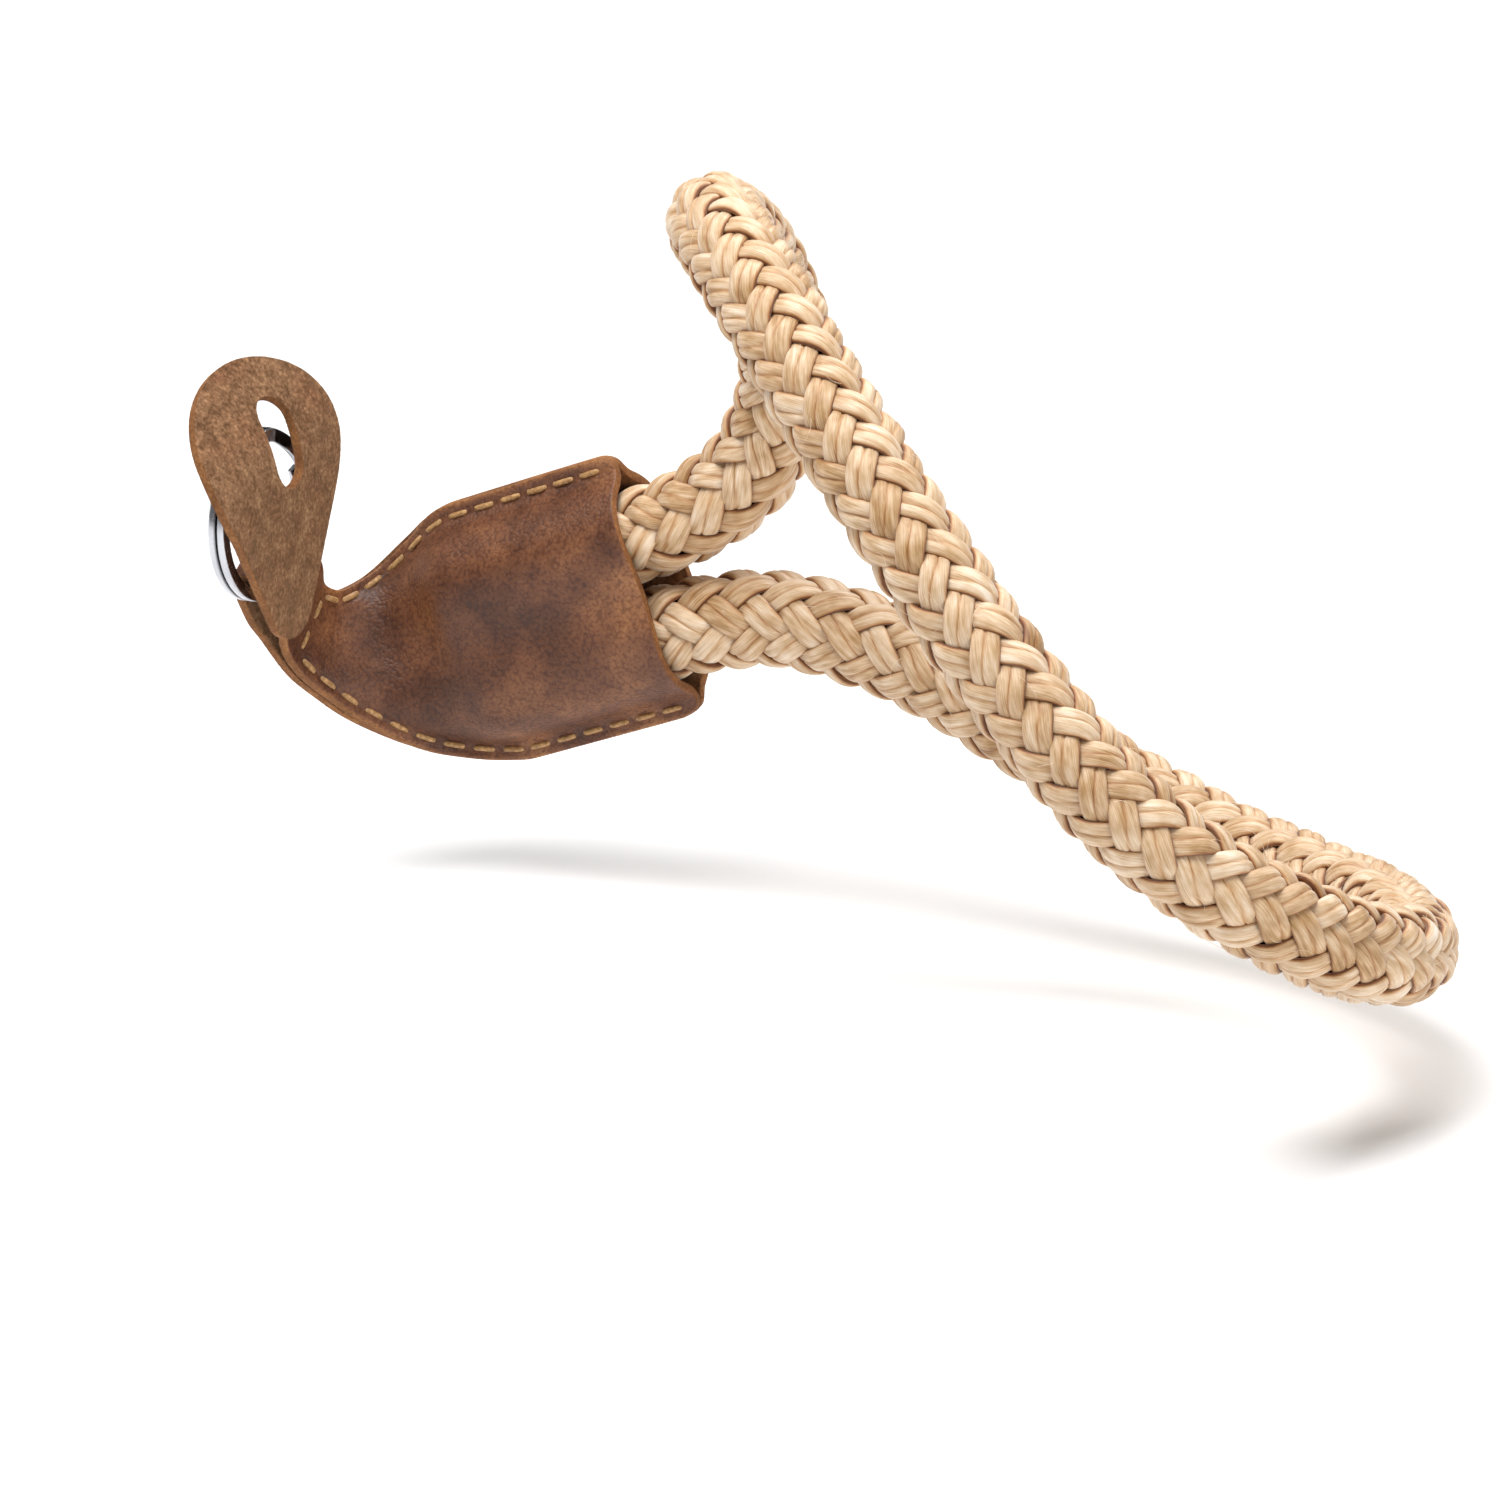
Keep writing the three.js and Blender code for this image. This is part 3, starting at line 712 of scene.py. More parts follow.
PAD_THICKNESS = 1.2 * MM
PAD_FACE_X = 3.1  # the face that looks at the ring, where the pad is flat, in millimetres
PAD_HEAD = (12.1, -1.6, 6.65)  # radius, and the round end's place from the ring's centre
PAD_TAIL = (4.4, -0.2, -9.3)
PAD_TILT = 0.37  # of the line that it curls along, from the ring's Y axis, in radians
PAD_ROLL_START = 2.65  # that line's distance from the ring's centre
PAD_ROLL_RADIUS = 15.6
PAD_ROLL_ANGLE = 0.68
PAD_SLOT = (4.8, 9.4)  # wide and high
PAD_SLOT_MIDDLE = 8.25  # above the ring's centre
PAD_AROUND = 128  # points round it
PAD_FINE = 600  # points round its outline before they are spread evenly
PAD_CUTS = 17  # rows between the slot and the edge
PAD_NAP = 0.012 * MM  # how far the surface is uneven
PAD_LENGTHWAYS = np.array((math.cos(PAD_TILT), math.sin(PAD_TILT)))
PAD_CROSSWAYS = np.array((-math.sin(PAD_TILT), math.cos(PAD_TILT)))


def arc(radius, y, z, start, end, count=60):
    turn = np.linspace(start, end, count)
    return np.column_stack([y + radius * np.cos(turn), z + radius * np.sin(turn)])


def spread(outline, count):
    """Even points round a closed outline, anticlockwise, beginning straight above the slot."""
    above = int(np.argmin(np.abs(outline[:, 0]) + 100 * (outline[:, 1] < PAD_SLOT_MIDDLE)))
    closed = np.vstack([outline[above:], outline[:above + 1]])
    along = np.r_[0, np.cumsum(np.linalg.norm(np.diff(closed, axis=0), axis=1))]
    even = np.arange(count) / count * along[-1]
    return np.column_stack([np.interp(even, along, closed[:, k]) for k in range(2)])


def pad_outline():
    """The teardrop's outline, as seen along X once the leather has curled."""
    head, tail = np.array(PAD_HEAD[1:]), np.array(PAD_TAIL[1:])
    down = tail - head
    axis = math.atan2(down[1], down[0])
    opening = math.acos((PAD_HEAD[0] - PAD_TAIL[0]) / math.hypot(*down))
    flat = np.vstack([
        arc(*PAD_HEAD, axis + opening, axis + 2 * math.pi - opening, 160),
        arc(*PAD_TAIL, axis - opening, axis + opening),
    ])
    flat = spread(flat, PAD_FINE)
    across = flat @ PAD_CROSSWAYS - PAD_ROLL_START
    turned = np.clip(across / PAD_ROLL_RADIUS, 0, PAD_ROLL_ANGLE)
    past = np.maximum(across - PAD_ROLL_RADIUS * PAD_ROLL_ANGLE, 0)
    curled = PAD_ROLL_RADIUS * np.sin(turned) + past * math.cos(PAD_ROLL_ANGLE)
    moved = np.where(across < 0, across, curled) + PAD_ROLL_START
    return (flat @ PAD_LENGTHWAYS)[:, None] * PAD_LENGTHWAYS + moved[:, None] * PAD_CROSSWAYS


def pad_slot_outline():
    half, rise = PAD_SLOT[0] / 2, (PAD_SLOT[1] - PAD_SLOT[0]) / 2
    return np.vstack([
        arc(half, 0, PAD_SLOT_MIDDLE + rise, 0, math.pi),
        arc(half, 0, PAD_SLOT_MIDDLE - rise, math.pi, 2 * math.pi),
    ])


def pad_height(points):
    """X of the face that looks at the ring: flat, then curling away from the camera."""
    across = points @ PAD_CROSSWAYS - PAD_ROLL_START
    end = PAD_ROLL_RADIUS * math.sin(PAD_ROLL_ANGLE)
    rolled = np.sqrt(PAD_ROLL_RADIUS**2 - np.clip(across, 0, end) ** 2) - PAD_ROLL_RADIUS
    return PAD_FACE_X + rolled - np.maximum(across - end, 0) * math.tan(PAD_ROLL_ANGLE)


def protector_pad(suede, cut_edge, grain):
    """Outline and slot joined by even rows, curled, then given the leather's thickness."""
    loops = []
    for outline in (pad_outline(), pad_slot_outline()):
        deselect_all()
        bpy.ops.mesh.primitive_circle_add(vertices=PAD_AROUND, radius=10 * MM, location=(0, 0, 0))
        loops.append(bpy.context.object)
        placed = spread(outline, PAD_AROUND)
        write_points(loops[-1], np.column_stack([np.zeros(PAD_AROUND), placed]) * MM)
    for loop in loops:
        loop.select_set(True)
    bpy.ops.object.join()
    piece = bpy.context.object
    piece.name = "protector_pad_leather"
    bpy.ops.object.mode_set(mode="EDIT")
    bpy.ops.mesh.select_all(action="SELECT")
    bpy.ops.mesh.bridge_edge_loops(number_cuts=PAD_CUTS, interpolation="LINEAR")
    bpy.ops.mesh.select_all(action="SELECT")
    bpy.ops.mesh.normals_make_consistent(inside=False)
    bpy.ops.object.mode_set(mode="OBJECT")
    points = read_points(piece)
    points[:, 0] = pad_height(points[:, 1:] / MM) * MM
    points[:, 2] += RING_CENTRE.z
    write_points(piece, points)
    if piece.data.polygons[0].normal.x < 0:
        piece.data.flip_normals()
    for material in (suede, cut_edge, grain):
        piece.data.materials.append(material)
    give_thickness(piece, PAD_THICKNESS, offset=1.0, slots=(2, 1), rounding=0.14 * MM, corner=50)
    rng = np.random.default_rng(5)
    points = read_points(piece)
    normals = np.empty(points.size)
    piece.data.vertices.foreach_get("normal", normals)
    write_points(piece, points + normals.reshape(-1, 3) * rng.normal(0, PAD_NAP, (len(points), 1)))
    bpy.ops.object.shade_smooth_by_angle(angle=math.radians(60))
    return finish_piece(piece)


# Split hide with a raised nap, as the flesh side of the pad: matt, felted and blotchy, with
# reddish patches, painted shade in its hollows and painted light on its fibre tips.
def suede_nap():
    m = new_material("brown_suede_nap")
    place = node(m, "ShaderNodeTexCoord").outputs["Object"]
    blotches = node(
        m, "ShaderNodeTexNoise", {"Scale": 520.0, "Detail": 3.0, "Roughness": 0.6}, Vector=place,
    ).outputs["Fac"]
    tufts = node(
        m, "ShaderNodeTexNoise", {"Scale": 2100.0, "Detail": 4.0, "Roughness": 0.7, "Distortion": 0.3},
        Vector=place,
    ).outputs["Fac"]
    red = node(m, "ShaderNodeTexNoise", {"Scale": 230.0, "Detail": 2.0}, Vector=place).outputs["Fac"]
    both = node(
        m, "ShaderNodeMix", {"data_type": "FLOAT", "Factor": 0.62}, _2=blotches, _3=tufts,
    ).outputs[0]
    # The hide's blotches; as the bump follows the same values, their dark is also painted shade in the
    # hollows and their light painted light on the tips.
    brown = node(
        m, "ShaderNodeValToRGB",
        {"stops": (
            (0.34, "#432814"), (0.43, "#5E3F25"), (0.5, "#745138"), (0.57, "#876346"), (0.7, "#B08A62"),
        )},
        _0=both,
    ).outputs["Color"]
    reddish = node(
        m, "ShaderNodeMapRange", {"From Min": 0.45, "From Max": 0.75, "To Min": 0.0, "To Max": 0.35},
        Value=red,
    ).outputs["Result"]
    colour = node(
        m, "ShaderNodeMix", {"data_type": "RGBA", "blend_type": "MULTIPLY", 7: srgb("#E8A888")},
        _0=reddish, _6=brown,
    ).outputs[2]
    bump = node(
        m, "ShaderNodeBump", {"Strength": 0.9, "Distance": 0.00025}, Height=both,
    ).outputs["Normal"]
    shader = node(
        m, "ShaderNodeBsdfPrincipled",
        {
            "Roughness": 0.92, "Specular IOR Level": 0.2,
            "Sheen Weight": 0.35, "Sheen Roughness": 0.6, "Sheen Tint": srgb("#D9B48C"),
        },
        Base_Color=colour, Normal=bump,
    )
    node(m, "ShaderNodeOutputMaterial", Surface=shader.outputs[0])
    return m


# The leather's cut edge, left raw: lighter, warmer fibres packed in fine layers.
def raw_edge():
    m = new_material("raw_cut_leather_edge")
    place = node(m, "ShaderNodeTexCoord").outputs["Object"]
    fibres = node(
        m, "ShaderNodeTexNoise", {"Scale": 2600.0, "Detail": 3.0, "Roughness": 0.65, "Distortion": 0.5},
        Vector=place,
    ).outputs["Fac"]
    patches = node(
        m, "ShaderNodeTexNoise", {"Scale": 300.0, "Detail": 2.0}, Vector=place,
    ).outputs["Fac"]
    both = node(
        m, "ShaderNodeMix", {"data_type": "FLOAT", "Factor": 0.4}, _2=fibres, _3=patches,
    ).outputs[0]
    colour = node(
        m, "ShaderNodeValToRGB", {"stops": ((0.3, "#5F3A1D"), (0.5, "#80522C"), (0.7, "#AA7746"))},
        _0=both,
    ).outputs["Color"]
    bump = node(
        m, "ShaderNodeBump", {"Strength": 0.7, "Distance": 0.00012}, Height=fibres,
    ).outputs["Normal"]
    shader = node(
        m, "ShaderNodeBsdfPrincipled", {"Roughness": 0.8, "Specular IOR Level": 0.3},
        Base_Color=colour, Normal=bump,
    )
    node(m, "ShaderNodeOutputMaterial", Surface=shader.outputs[0])
    return m


# Full-grain cowhide, drum dyed and waxed: small pebbles with fine creases between them, painted
# darker as shade, a soft satin gloss, cloudy brown, and paler where it is bent or rubbed.
def grain_leather():
    m = new_material("waxed_full_grain_leather")
    place = node(m, "ShaderNodeTexCoord").outputs["Object"]
    bent = node(m, "ShaderNodeTexNoise", {"Scale": 700.0, "Detail": 3.0}, Vector=place).outputs["Color"]
    warped = node(
        m, "ShaderNodeMix", {"data_type": "VECTOR", "Factor": 0.0009}, _4=place, _5=bent,
    ).outputs[1]
    # Pebbles of about 0.4 mm, the size of this hide's own grain.
    cells = node(
        m, "ShaderNodeTexVoronoi", {"feature": "SMOOTH_F1", "Scale": 2500.0, "Smoothness": 0.35},
        Vector=warped,
    ).outputs["Distance"]
    pebbles = node(
        m, "ShaderNodeMapRange", {"From Min": 0.75, "From Max": 0.25, "To Min": 0.0, "To Max": 1.0},
        Value=cells,
    ).outputs["Result"]
    fine = node(
        m, "ShaderNodeTexNoise", {"Scale": 4200.0, "Detail": 3.0, "Roughness": 0.65}, Vector=place,
    ).outputs["Fac"]
    pores = node(
        m, "ShaderNodeTexVoronoi", {"feature": "F1", "Scale": 1100.0}, Vector=place,
    ).outputs["Distance"]
    pricked = node(
        m, "ShaderNodeValToRGB", {"stops": ((0.06, "#7A685C"), (0.16, "#FFFFFF"))}, _0=pores,
    ).outputs["Color"]
    clouds = node(
        m, "ShaderNodeTexNoise", {"Scale": 120.0, "Detail": 5.0, "Roughness": 0.6}, Vector=place,
    ).outputs["Fac"]
    worn = node(m, "ShaderNodeAttribute", {"attribute_name": "worn"}).outputs["Fac"]
    shade = node(
        m, "ShaderNodeMath", {"operation": "MULTIPLY_ADD", 1: 0.22}, _0=worn, _2=clouds,
    ).outputs[0]
    brown = node(
        m, "ShaderNodeValToRGB",
        {"stops": (
            (0.3, "#43230F"), (0.45, "#5A341D"), (0.57, "#70452A"), (0.7, "#8A5B38"), (0.85, "#B07B4C"),
        )},
        _0=shade,
    ).outputs["Color"]
    # Painted shade: darker in the creases between the pebbles.
    creases = node(
        m, "ShaderNodeValToRGB", {"stops": ((0.0, "#B9A698"), (0.45, "#F0E8E2"), (1.0, "#FFFFFF"))},
        _0=pebbles,
    ).outputs["Color"]
    brown_with_painted_crease_shade = node(
        m, "ShaderNodeMix", {"data_type": "RGBA", "blend_type": "MULTIPLY", "Factor": 0.8},
        _6=brown, _7=creases,
    ).outputs[2]
    colour = node(
        m, "ShaderNodeMix", {"data_type": "RGBA", "blend_type": "MULTIPLY", "Factor": 0.7},
        _6=brown_with_painted_crease_shade, _7=pricked,
    ).outputs[2]
    height = node(
        m, "ShaderNodeMath", {"operation": "MULTIPLY_ADD", 1: 0.5}, _0=fine, _2=pebbles,
    ).outputs[0]
    rough = node(
        m, "ShaderNodeMapRange", {"From Min": 0.3, "From Max": 0.7, "To Min": 0.4, "To Max": 0.58},
        Value=fine,
    ).outputs["Result"]
    bump = node(
        m, "ShaderNodeBump", {"Strength": 0.6, "Distance": 0.00007}, Height=height,
    ).outputs["Normal"]
    shader = node(
        m, "ShaderNodeBsdfPrincipled", {"Specular IOR Level": 0.45},
        Base_Color=colour, Roughness=rough, Normal=bump,
    )
    node(m, "ShaderNodeOutputMaterial", Surface=shader.outputs[0])
    return m


# ---------------------------------------------------------------- leather end: its line

# In millimetres: along the fold from the ring's centre, and across it.
FOLD_TOP = 2.8
FOLD_END = 14.0
FOLD_OFFSET = -1.77
FOLD_TILT = 0.611  # of the fold, towards +Y from straight down, in radians
FOLD_DOWN = np.array((0, math.sin(FOLD_TILT), -math.cos(FOLD_TILT)))
FOLD_ACROSS = np.array((0, math.cos(FOLD_TILT), math.sin(FOLD_TILT)))
CUFF_MOUTH = np.array((37.15, 25.26, -17.13))
CUFF_AXIS = np.array((0.93, 0.095, 0.355)) / np.linalg.norm((0.93, 0.095, 0.355))
CUFF_ACROSS = np.array((-0.355, -0.036, 0.934)) / np.linalg.norm((-0.355, -0.036, 0.934))
CUFF_LENGTH = 24.5
BEND_ARM = 10  # how far the fold's and the cuff's directions reach into the curve between them
FOLD_SAMPLES, CURVE_SAMPLES, CUFF_SAMPLES = 100, 400, 200
DIRECTION_STEP = 0.4  # how far ahead and behind the band's direction is read


def fold_point(distance):
    return np.array(RING_CENTRE) / MM + FOLD_OFFSET * FOLD_ACROSS + distance * FOLD_DOWN


def leather_line():
    """The band's middle line in millimetres: down the fold, round the camera's corner, up the cuff."""
    top, start, cuff = fold_point(FOLD_TOP), fold_point(FOLD_END), CUFF_MOUTH - CUFF_LENGTH * CUFF_AXIS
    t = np.linspace(0, 1, CURVE_SAMPLES)[:, None]
    corners = (start, start + BEND_ARM * FOLD_DOWN, cuff - BEND_ARM * CUFF_AXIS, cuff)
    shares = ((1 - t) ** 3, 3 * t * (1 - t) ** 2, 3 * t**2 * (1 - t), t**3)
    points = np.vstack([
        top + (start - top) * np.linspace(0, 1, FOLD_SAMPLES, endpoint=False)[:, None],
        sum(corner * share for corner, share in zip(corners, shares)),
        cuff + (CUFF_MOUTH - cuff) * np.linspace(0, 1, CUFF_SAMPLES)[1:, None],
    ])
    return np.r_[0, np.cumsum(np.linalg.norm(np.diff(points, axis=0), axis=1))], points


BAND_ALONG, BAND_POINTS = leather_line()
BAND_LENGTH = BAND_ALONG[-1]


def on_band(along, across, through):
    """Points at a place along the band, across it and out of its middle plane, in millimetres."""
    def read(places):
        return np.column_stack([np.interp(places, BAND_ALONG, BAND_POINTS[:, k]) for k in range(3)])

    ahead, behind = read(along + DIRECTION_STEP), read(along - DIRECTION_STEP)
    tangent = (ahead - behind) / np.linalg.norm(ahead - behind, axis=1)[:, None]
    beyond = np.minimum(along, 0) + np.maximum(along - BAND_LENGTH, 0)
    middle = read(along) + beyond[:, None] * tangent
    # The band turns from the fold's own plane to the cuff's between the two.
    curve_length = BAND_LENGTH - CUFF_LENGTH - FOLD_END + FOLD_TOP
    turned = smooth_step((along - (FOLD_END - FOLD_TOP)) / curve_length)[:, None]
    side = FOLD_ACROSS * (1 - turned) + CUFF_ACROSS * turned
    side = side - np.sum(side * tangent, axis=1)[:, None] * tangent
    side /= np.linalg.norm(side, axis=1)[:, None]
    return middle + across[:, None] * side + through[:, None] * np.cross(tangent, side)


def out_of_band(along, across, face, side):
    """The direction out of one side's face, not yet of unit length."""
    near, far = on_band(np.full(2, along), np.full(2, across), np.array([face, face + side]))
    return far - near


# ---------------------------------------------------------------- leather end: its shape

LEATHER = 1.2  # millimetres thick
BEND_CENTRE = 2.6  # along the band: the middle of the U-bend round the ring's wire
BEND_RADIUS = 2.6
# (place along the band, half width, outer face from the middle plane at the edges, bulge)
BAND_SHAPE = (
    (0.0, 4.9, 2.6, 0.0), (9.0, 5.0, 2.6, 0.0), (11.2, 5.0, 1.75, 0.0), (13.5, 5.2, 1.3, 0.0),
    (19.0, 6.2, 1.25, 0.03), (25.0, 8.9, 1.25, 0.21), (30.5, 11.9, 1.25, 0.55),
    (35.5, 14.2, 1.25, 0.87), (39.0, 15.2, 1.25, 1.0), (60.0, 15.4, 1.25, 1.0),
)
# The cuff's half section, from a stitched edge over one rope to the dip between the two.
CUFF_SECTION = (
    (15.4, 1.25), (14.4, 1.25), (13.7, 1.3), (13.1, 1.7), (12.6, 2.6), (12.0, 3.75), (11.1, 4.95),
    (9.7, 6.15), (7.8, 6.95), (5.8, 7.2), (3.6, 7.1), (1.8, 6.9), (0.0, 6.8),
)
CUFF_EDGE, CUFF_EDGE_FACE = CUFF_SECTION[0]
SEAM_INSET = 1.35
SEAM_START = 14.6
CHANNEL_DEPTH = 0.16  # of the seam's channel, in millimetres
CHANNEL_WIDTH = 0.45
STRIP_ROWS = 62  # along each leaf
BEND_ROWS = 13
STRIP_COLUMNS = 29  # from an edge to the middle
SHAPE_EASE = 16  # tenths of a millimetre, to each side, over which the band's corners are eased
SECTION_EASE = 12  # the same for the section, in steps of a two-hundredth
SECTION_STEPS = 200
MOUTH_CORNER = 2.0  # the radius to which the mouth's corners are cut
MOUTH_WAVE = 0.3  # how far the mouth's edge is from straight
SWAY = 0.05  # how far the hide is uneven


def band_shape(along):
    """Half width, edge face and bulge along the band, with the table's corners eased."""
    fine = np.linspace(-4, 60, 641)
    ease = np.hanning(2 * SHAPE_EASE + 1)
    places, *columns = zip(*BAND_SHAPE)
    out = []
    for column in columns:
        values = np.interp(fine, places, column)
        padded = np.r_[np.full(SHAPE_EASE, values[0]), values, np.full(SHAPE_EASE, values[-1])]
        out.append(np.interp(along, fine, np.convolve(padded, ease / ease.sum(), mode="valid")))
    return out


def eased(values, odd):
    """Values with their corners eased, carried on past both ends as an odd or an even function."""
    ease = np.hanning(2 * SECTION_EASE + 1)
    before, after = values[SECTION_EASE:0:-1], values[-2:-SECTION_EASE - 2:-1]
    if odd:
        before, after = 2 * values[0] - before, 2 * values[-1] - after
    return np.convolve(np.r_[before, values, after], ease / ease.sum(), mode="valid")


def half_section(half, edge, bulge):
    """Even points from the edge to the middle of one leaf's outer face."""
    fine = np.linspace(0, 1, SECTION_STEPS)
    coarse = np.linspace(0, 1, len(CUFF_SECTION))
    wide, high = (np.interp(fine, coarse, column) for column in zip(*CUFF_SECTION))
    across = eased(wide, odd=True) * half / CUFF_EDGE
    through = edge + bulge * (eased(high, odd=False) - CUFF_EDGE_FACE)
    length = np.r_[0, np.cumsum(np.hypot(np.diff(across), np.diff(through)))]
    even = np.linspace(0, length[-1], STRIP_COLUMNS)
    return np.interp(even, length, across), np.interp(even, length, through)


def leaf_row(along, side):
    """One row of the strip's outer face, edge to edge, with its seam's shallow channel."""
    half, edge, bulge = (float(v[0]) for v in band_shape(np.array([along])))
    across, through = half_section(half, edge, bulge)
    sewn = float(smooth_step((along - SEAM_START + 1.5) / 2))
    channel = np.exp(-(((half - across) - SEAM_INSET) / CHANNEL_WIDTH) ** 2)
    through = through - CHANNEL_DEPTH * sewn * channel
    across = np.r_[across, -across[-2::-1]]
    through = np.r_[through, through[-2::-1]]
    return across, side * through


def bend_points(turn):
    """One row round the ring's wire, at an angle from the front leaf, and how worn it is."""
    across, _ = leaf_row(BEND_CENTRE, 1)
    along = np.full(len(across), BEND_CENTRE - BEND_RADIUS * math.sin(turn))
    through = np.full(len(across), BEND_RADIUS * math.cos(turn))
    return on_band(along, across, through), np.full(len(across), 0.5 * math.sin(turn))


def leaf_points(share, side, wave):
    """One row of a leaf, at a share of the way from the bend to the mouth, and how worn it is."""
    place = BEND_CENTRE + share * (BAND_LENGTH - BEND_CENTRE)
    across, through = leaf_row(place, side)
    from_edge = np.abs(across[0]) - np.abs(across)
    corner = np.maximum(MOUTH_CORNER - from_edge, 0)
    cut_back = MOUTH_CORNER - np.sqrt(np.maximum(MOUTH_CORNER**2 - corner**2, 0))
    along = place - share**7 * cut_back
    along += share**5 * MOUTH_WAVE * np.cos(across / CUFF_EDGE * math.pi)
    sway = sum(
        SWAY * high * np.sin(across / (2.5 + abs(long)) + shift + place * 0.2 * slant)
        for high, long, shift, slant in wave
    )
    points = on_band(along, across, through + sway * smooth_step((place - 12) / 8))
    return points, np.exp(-from_edge / 0.5) * 0.9 + 0.5 * share**10


def leather_strip(grain, flesh, cut_edge):
    """One strip of hide: up the front of the cuff, round the ring's wire, and up the back."""
    columns = 2 * STRIP_COLUMNS - 1
    rows = 2 * STRIP_ROWS + BEND_ROWS
    deselect_all()
    bpy.ops.mesh.primitive_grid_add(x_subdivisions=columns - 1, y_subdivisions=rows - 1, size=10 * MM)
    piece = bpy.context.object
    piece.name = "cuff_leather_strip"
    wave = np.random.default_rng(21).normal(0, 1, (6, 4))
    shares = [row / (STRIP_ROWS - 1) for row in range(STRIP_ROWS)]
    made = [leaf_points(1 - share, 1, wave) for share in shares]
    made += [bend_points(math.pi * (row + 1) / (BEND_ROWS + 1)) for row in range(BEND_ROWS)]
    made += [leaf_points(share, -1, wave) for share in shares]
    points, worn = zip(*made)
    write_points(piece, np.vstack(points) * MM)
    give_attribute(piece, "worn", np.hstack(worn))
    middle = piece.data.polygons[(rows // 4) * (columns - 1) + columns // 2]
    if middle.normal.dot(Vector(out_of_band(15.0, 0.0, 0.0, 1))) < 0:
        piece.data.flip_normals()
    for material in (grain, flesh, cut_edge):
        piece.data.materials.append(material)
    give_thickness(piece, LEATHER * MM, offset=-1.0, slots=(1, 2), rounding=0.18 * MM, corner=55)
    bpy.ops.object.shade_smooth_by_angle(angle=math.radians(50))
    return finish_piece(piece)


# ---------------------------------------------------------------- leather end: its stitching

STITCH_PITCH = 3.4
STITCH_LENGTH = 2.9
STITCH_DIP = 0.55  # how far a stitch's ends go down into the hide
STITCH_CUTS = 7
THREAD_RADIUS = 0.33
THREAD_TAPER = 0.25
THREAD_SUNK = 0.02  # how far the thread's middle line lies under the face
SEAM_STOP = 1.8  # before the mouth
BAR_BACK = 0.6  # from the seams' start to the bar of two stitches between them


def one_stitch():
    """A short arched length of thread along X, to be copied."""
    deselect_all()
    bpy.ops.mesh.primitive_cylinder_add(
        vertices=8, radius=THREAD_RADIUS * MM, depth=STITCH_LENGTH * MM, end_fill_type="TRIFAN",
    )
    stitch = bpy.context.object
    bpy.ops.object.mode_set(mode="EDIT")
    mesh = bmesh.from_edit_mesh(stitch.data)
    for edge in mesh.edges:
        edge.select_set(abs(edge.verts[0].co.z - edge.verts[1].co.z) > MM)
    bmesh.update_edit_mesh(stitch.data)
    bpy.ops.mesh.subdivide(number_cuts=STITCH_CUTS)
    bpy.ops.mesh.select_all(action="SELECT")
    bpy.ops.transform.rotate(value=math.radians(90), orient_axis="Y", center_override=(0, 0, 0))
    bpy.ops.object.mode_set(mode="OBJECT")
    points = read_points(stitch)
    share = np.abs(points[:, 0]) / (STITCH_LENGTH * MM / 2)
    points[:, 1:] *= (1 - THREAD_TAPER * share**4)[:, None]
    points[:, 2] -= STITCH_DIP * MM * share**5
    write_points(stitch, points)
    return stitch


def seam_point(along, side, edge):
    """A place on a seam, as (along, across, face)."""
    half, face, _ = band_shape(along)
    return along, edge * (half - SEAM_INSET), side * (face - THREAD_SUNK)


def stitch_places():
    """The two ends of each stitch, as (along, across, face), and the side it is on."""
    places = []
    fine = np.linspace(SEAM_START, BAND_LENGTH - SEAM_STOP, 400)
    for side in (1, -1):
        for edge in (1, -1):
            line = on_band(*seam_point(fine, side, edge))
            run = np.r_[0, np.cumsum(np.linalg.norm(np.diff(line, axis=0), axis=1))]
            count = round(run[-1] / STITCH_PITCH)
            pitch = run[-1] / count
            for k in range(count):
                first = pitch * k + 0.1
                ends = np.interp((first, first + STITCH_LENGTH), run, fine)
                places.append((list(zip(*seam_point(ends, side, edge))), side))
        across = band_shape(np.array([SEAM_START]))[0][0] - SEAM_INSET
        bar = SEAM_START - BAR_BACK
        face = side * band_shape(np.array([bar]))[1][0]
        reach = STITCH_LENGTH / 2
        for middle in (-across / 2, across / 2):
            places.append(([(bar, middle - reach, face), (bar, middle + reach, face)], side))
    return places


def stitching(thread):
    """A copy of the stitch at each place, its arch turned out of the face that it sits on."""
    model = one_stitch()
    shape = read_points(model)
    copies = []
    for ends, side in stitch_places():
        start, end = on_band(*np.transpose(ends))
        along, across, face = (sum(values) / 2 for values in zip(*ends))
        out = out_of_band(along, across, face, side)
        forwards = (end - start) / np.linalg.norm(end - start)
        out = out - (out @ forwards) * forwards
        out /= np.linalg.norm(out)
        turn = np.column_stack([forwards, np.cross(out, forwards), out])
        copy = model.copy()
        copy.data = model.data.copy()
        bpy.context.scene.collection.objects.link(copy)
        write_points(copy, shape @ turn.T + (start + end) / 2 * MM)
        copies.append(copy)
    bpy.data.objects.remove(model)
    deselect_all()
    for copy in copies:
        copy.select_set(True)
    bpy.context.view_layer.objects.active = copies[0]
    bpy.ops.object.join()
    piece = bpy.context.object
    piece.name = "cuff_stitching"
    piece.data.materials.append(thread)
    bpy.ops.object.mode_set(mode="EDIT")
    bpy.ops.mesh.select_all(action="SELECT")
    bpy.ops.mesh.normals_make_consistent(inside=False)
    bpy.ops.object.mode_set(mode="OBJECT")
    bpy.ops.object.shade_smooth_by_angle(angle=math.radians(60))
    return finish_piece(piece)


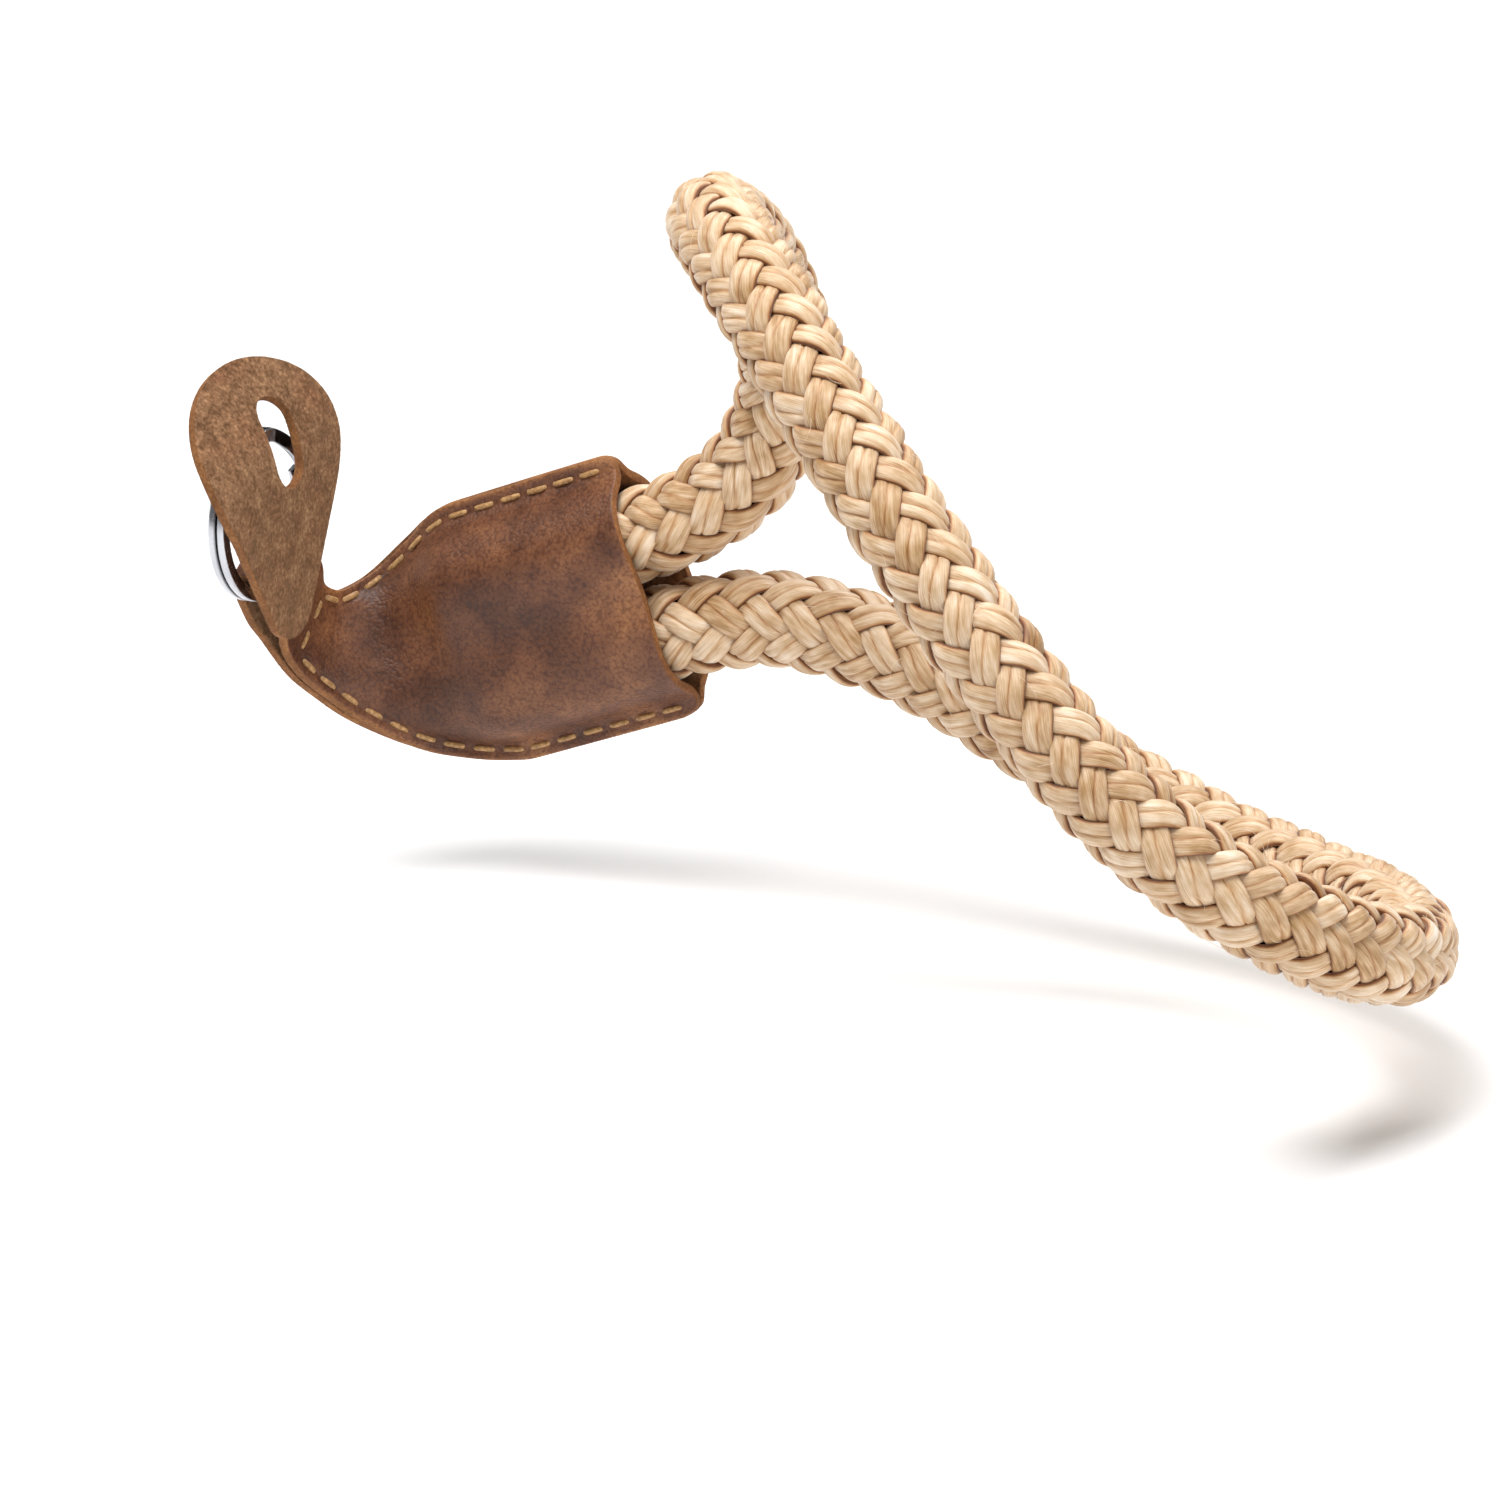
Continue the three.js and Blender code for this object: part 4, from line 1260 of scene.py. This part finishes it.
# Waxed polyester thread: round, lightly glossy, its plies seen as fine slanting ridges.
def waxed_thread():
    m = new_material("waxed_sewing_thread")
    place = node(m, "ShaderNodeTexCoord").outputs["Object"]
    plies = node(m, "ShaderNodeTexNoise", {"Scale": 2400.0, "Detail": 2.0}, Vector=place).outputs["Fac"]
    colour = node(
        m, "ShaderNodeValToRGB", {"stops": ((0.3, "#8A6238"), (0.7, "#C79C66"))}, _0=plies,
    ).outputs["Color"]
    bump = node(
        m, "ShaderNodeBump", {"Strength": 0.5, "Distance": 0.00008}, Height=plies,
    ).outputs["Normal"]
    shader = node(m, "ShaderNodeBsdfPrincipled", {"Roughness": 0.5}, Base_Color=colour, Normal=bump)
    node(m, "ShaderNodeOutputMaterial", Surface=shader.outputs[0])
    return m


suede, cut_edge, grain = suede_nap(), raw_edge(), grain_leather()
ring = split_ring(plated_steel())
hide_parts("split_ring")
pad = protector_pad(suede, cut_edge, grain)
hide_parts("protector_pad")
strip = leather_strip(grain, suede, cut_edge)
stitches = stitching(waxed_thread())
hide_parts("leather_end")

# ---------------------------------------------------------------- studio

FLOOR_Z = -53.55 * MM
# (name, place, size, power in watts)
LAMPS = (
    ("near", (0.0, -0.15, 0.5), (0.35, 0.35), 3.8),
    ("back", (0.0, 0.8, 1.0), (0.6, 0.6), 11.0),
    ("right", (1.3, -0.2, 0.3), (0.6, 0.6), 6.0),
    ("left", (-1.05, -0.4, 0.35), (0.6, 0.6), 1.3),
)
SKY_STRENGTH = 0.16


def add_floor():
    m = new_material("matt_paper")
    shader = node(m, "ShaderNodeBsdfPrincipled", {"Base Color": srgb("#F4F4F4"), "Roughness": 0.9})
    node(m, "ShaderNodeOutputMaterial", Surface=shader.outputs[0])
    bpy.ops.mesh.primitive_plane_add(size=8, location=(0, 0, FLOOR_Z))
    floor = bpy.context.object
    floor.name = "floor"
    floor.data.materials.append(m)


def add_lamp(name, place, size, power):
    data = bpy.data.lights.new(name, "AREA")
    data.shape = "RECTANGLE"
    data.size, data.size_y = size
    data.energy = power
    lamp = bpy.data.objects.new(name, data)
    lamp.location = place
    lamp.rotation_euler = (Vector(place) - AIM).to_track_quat("Z", "Y").to_euler()
    bpy.context.scene.collection.objects.link(lamp)


add_floor()
for lamp in LAMPS:
    add_lamp(*lamp)
world = bpy.data.worlds.new("studio")
world.use_nodes = True
world.node_tree.nodes["Background"].inputs["Color"].default_value = srgb("#FFFFFF")
world.node_tree.nodes["Background"].inputs["Strength"].default_value = SKY_STRENGTH
bpy.context.scene.world = world
bpy.context.scene.view_settings.view_transform = "Standard"
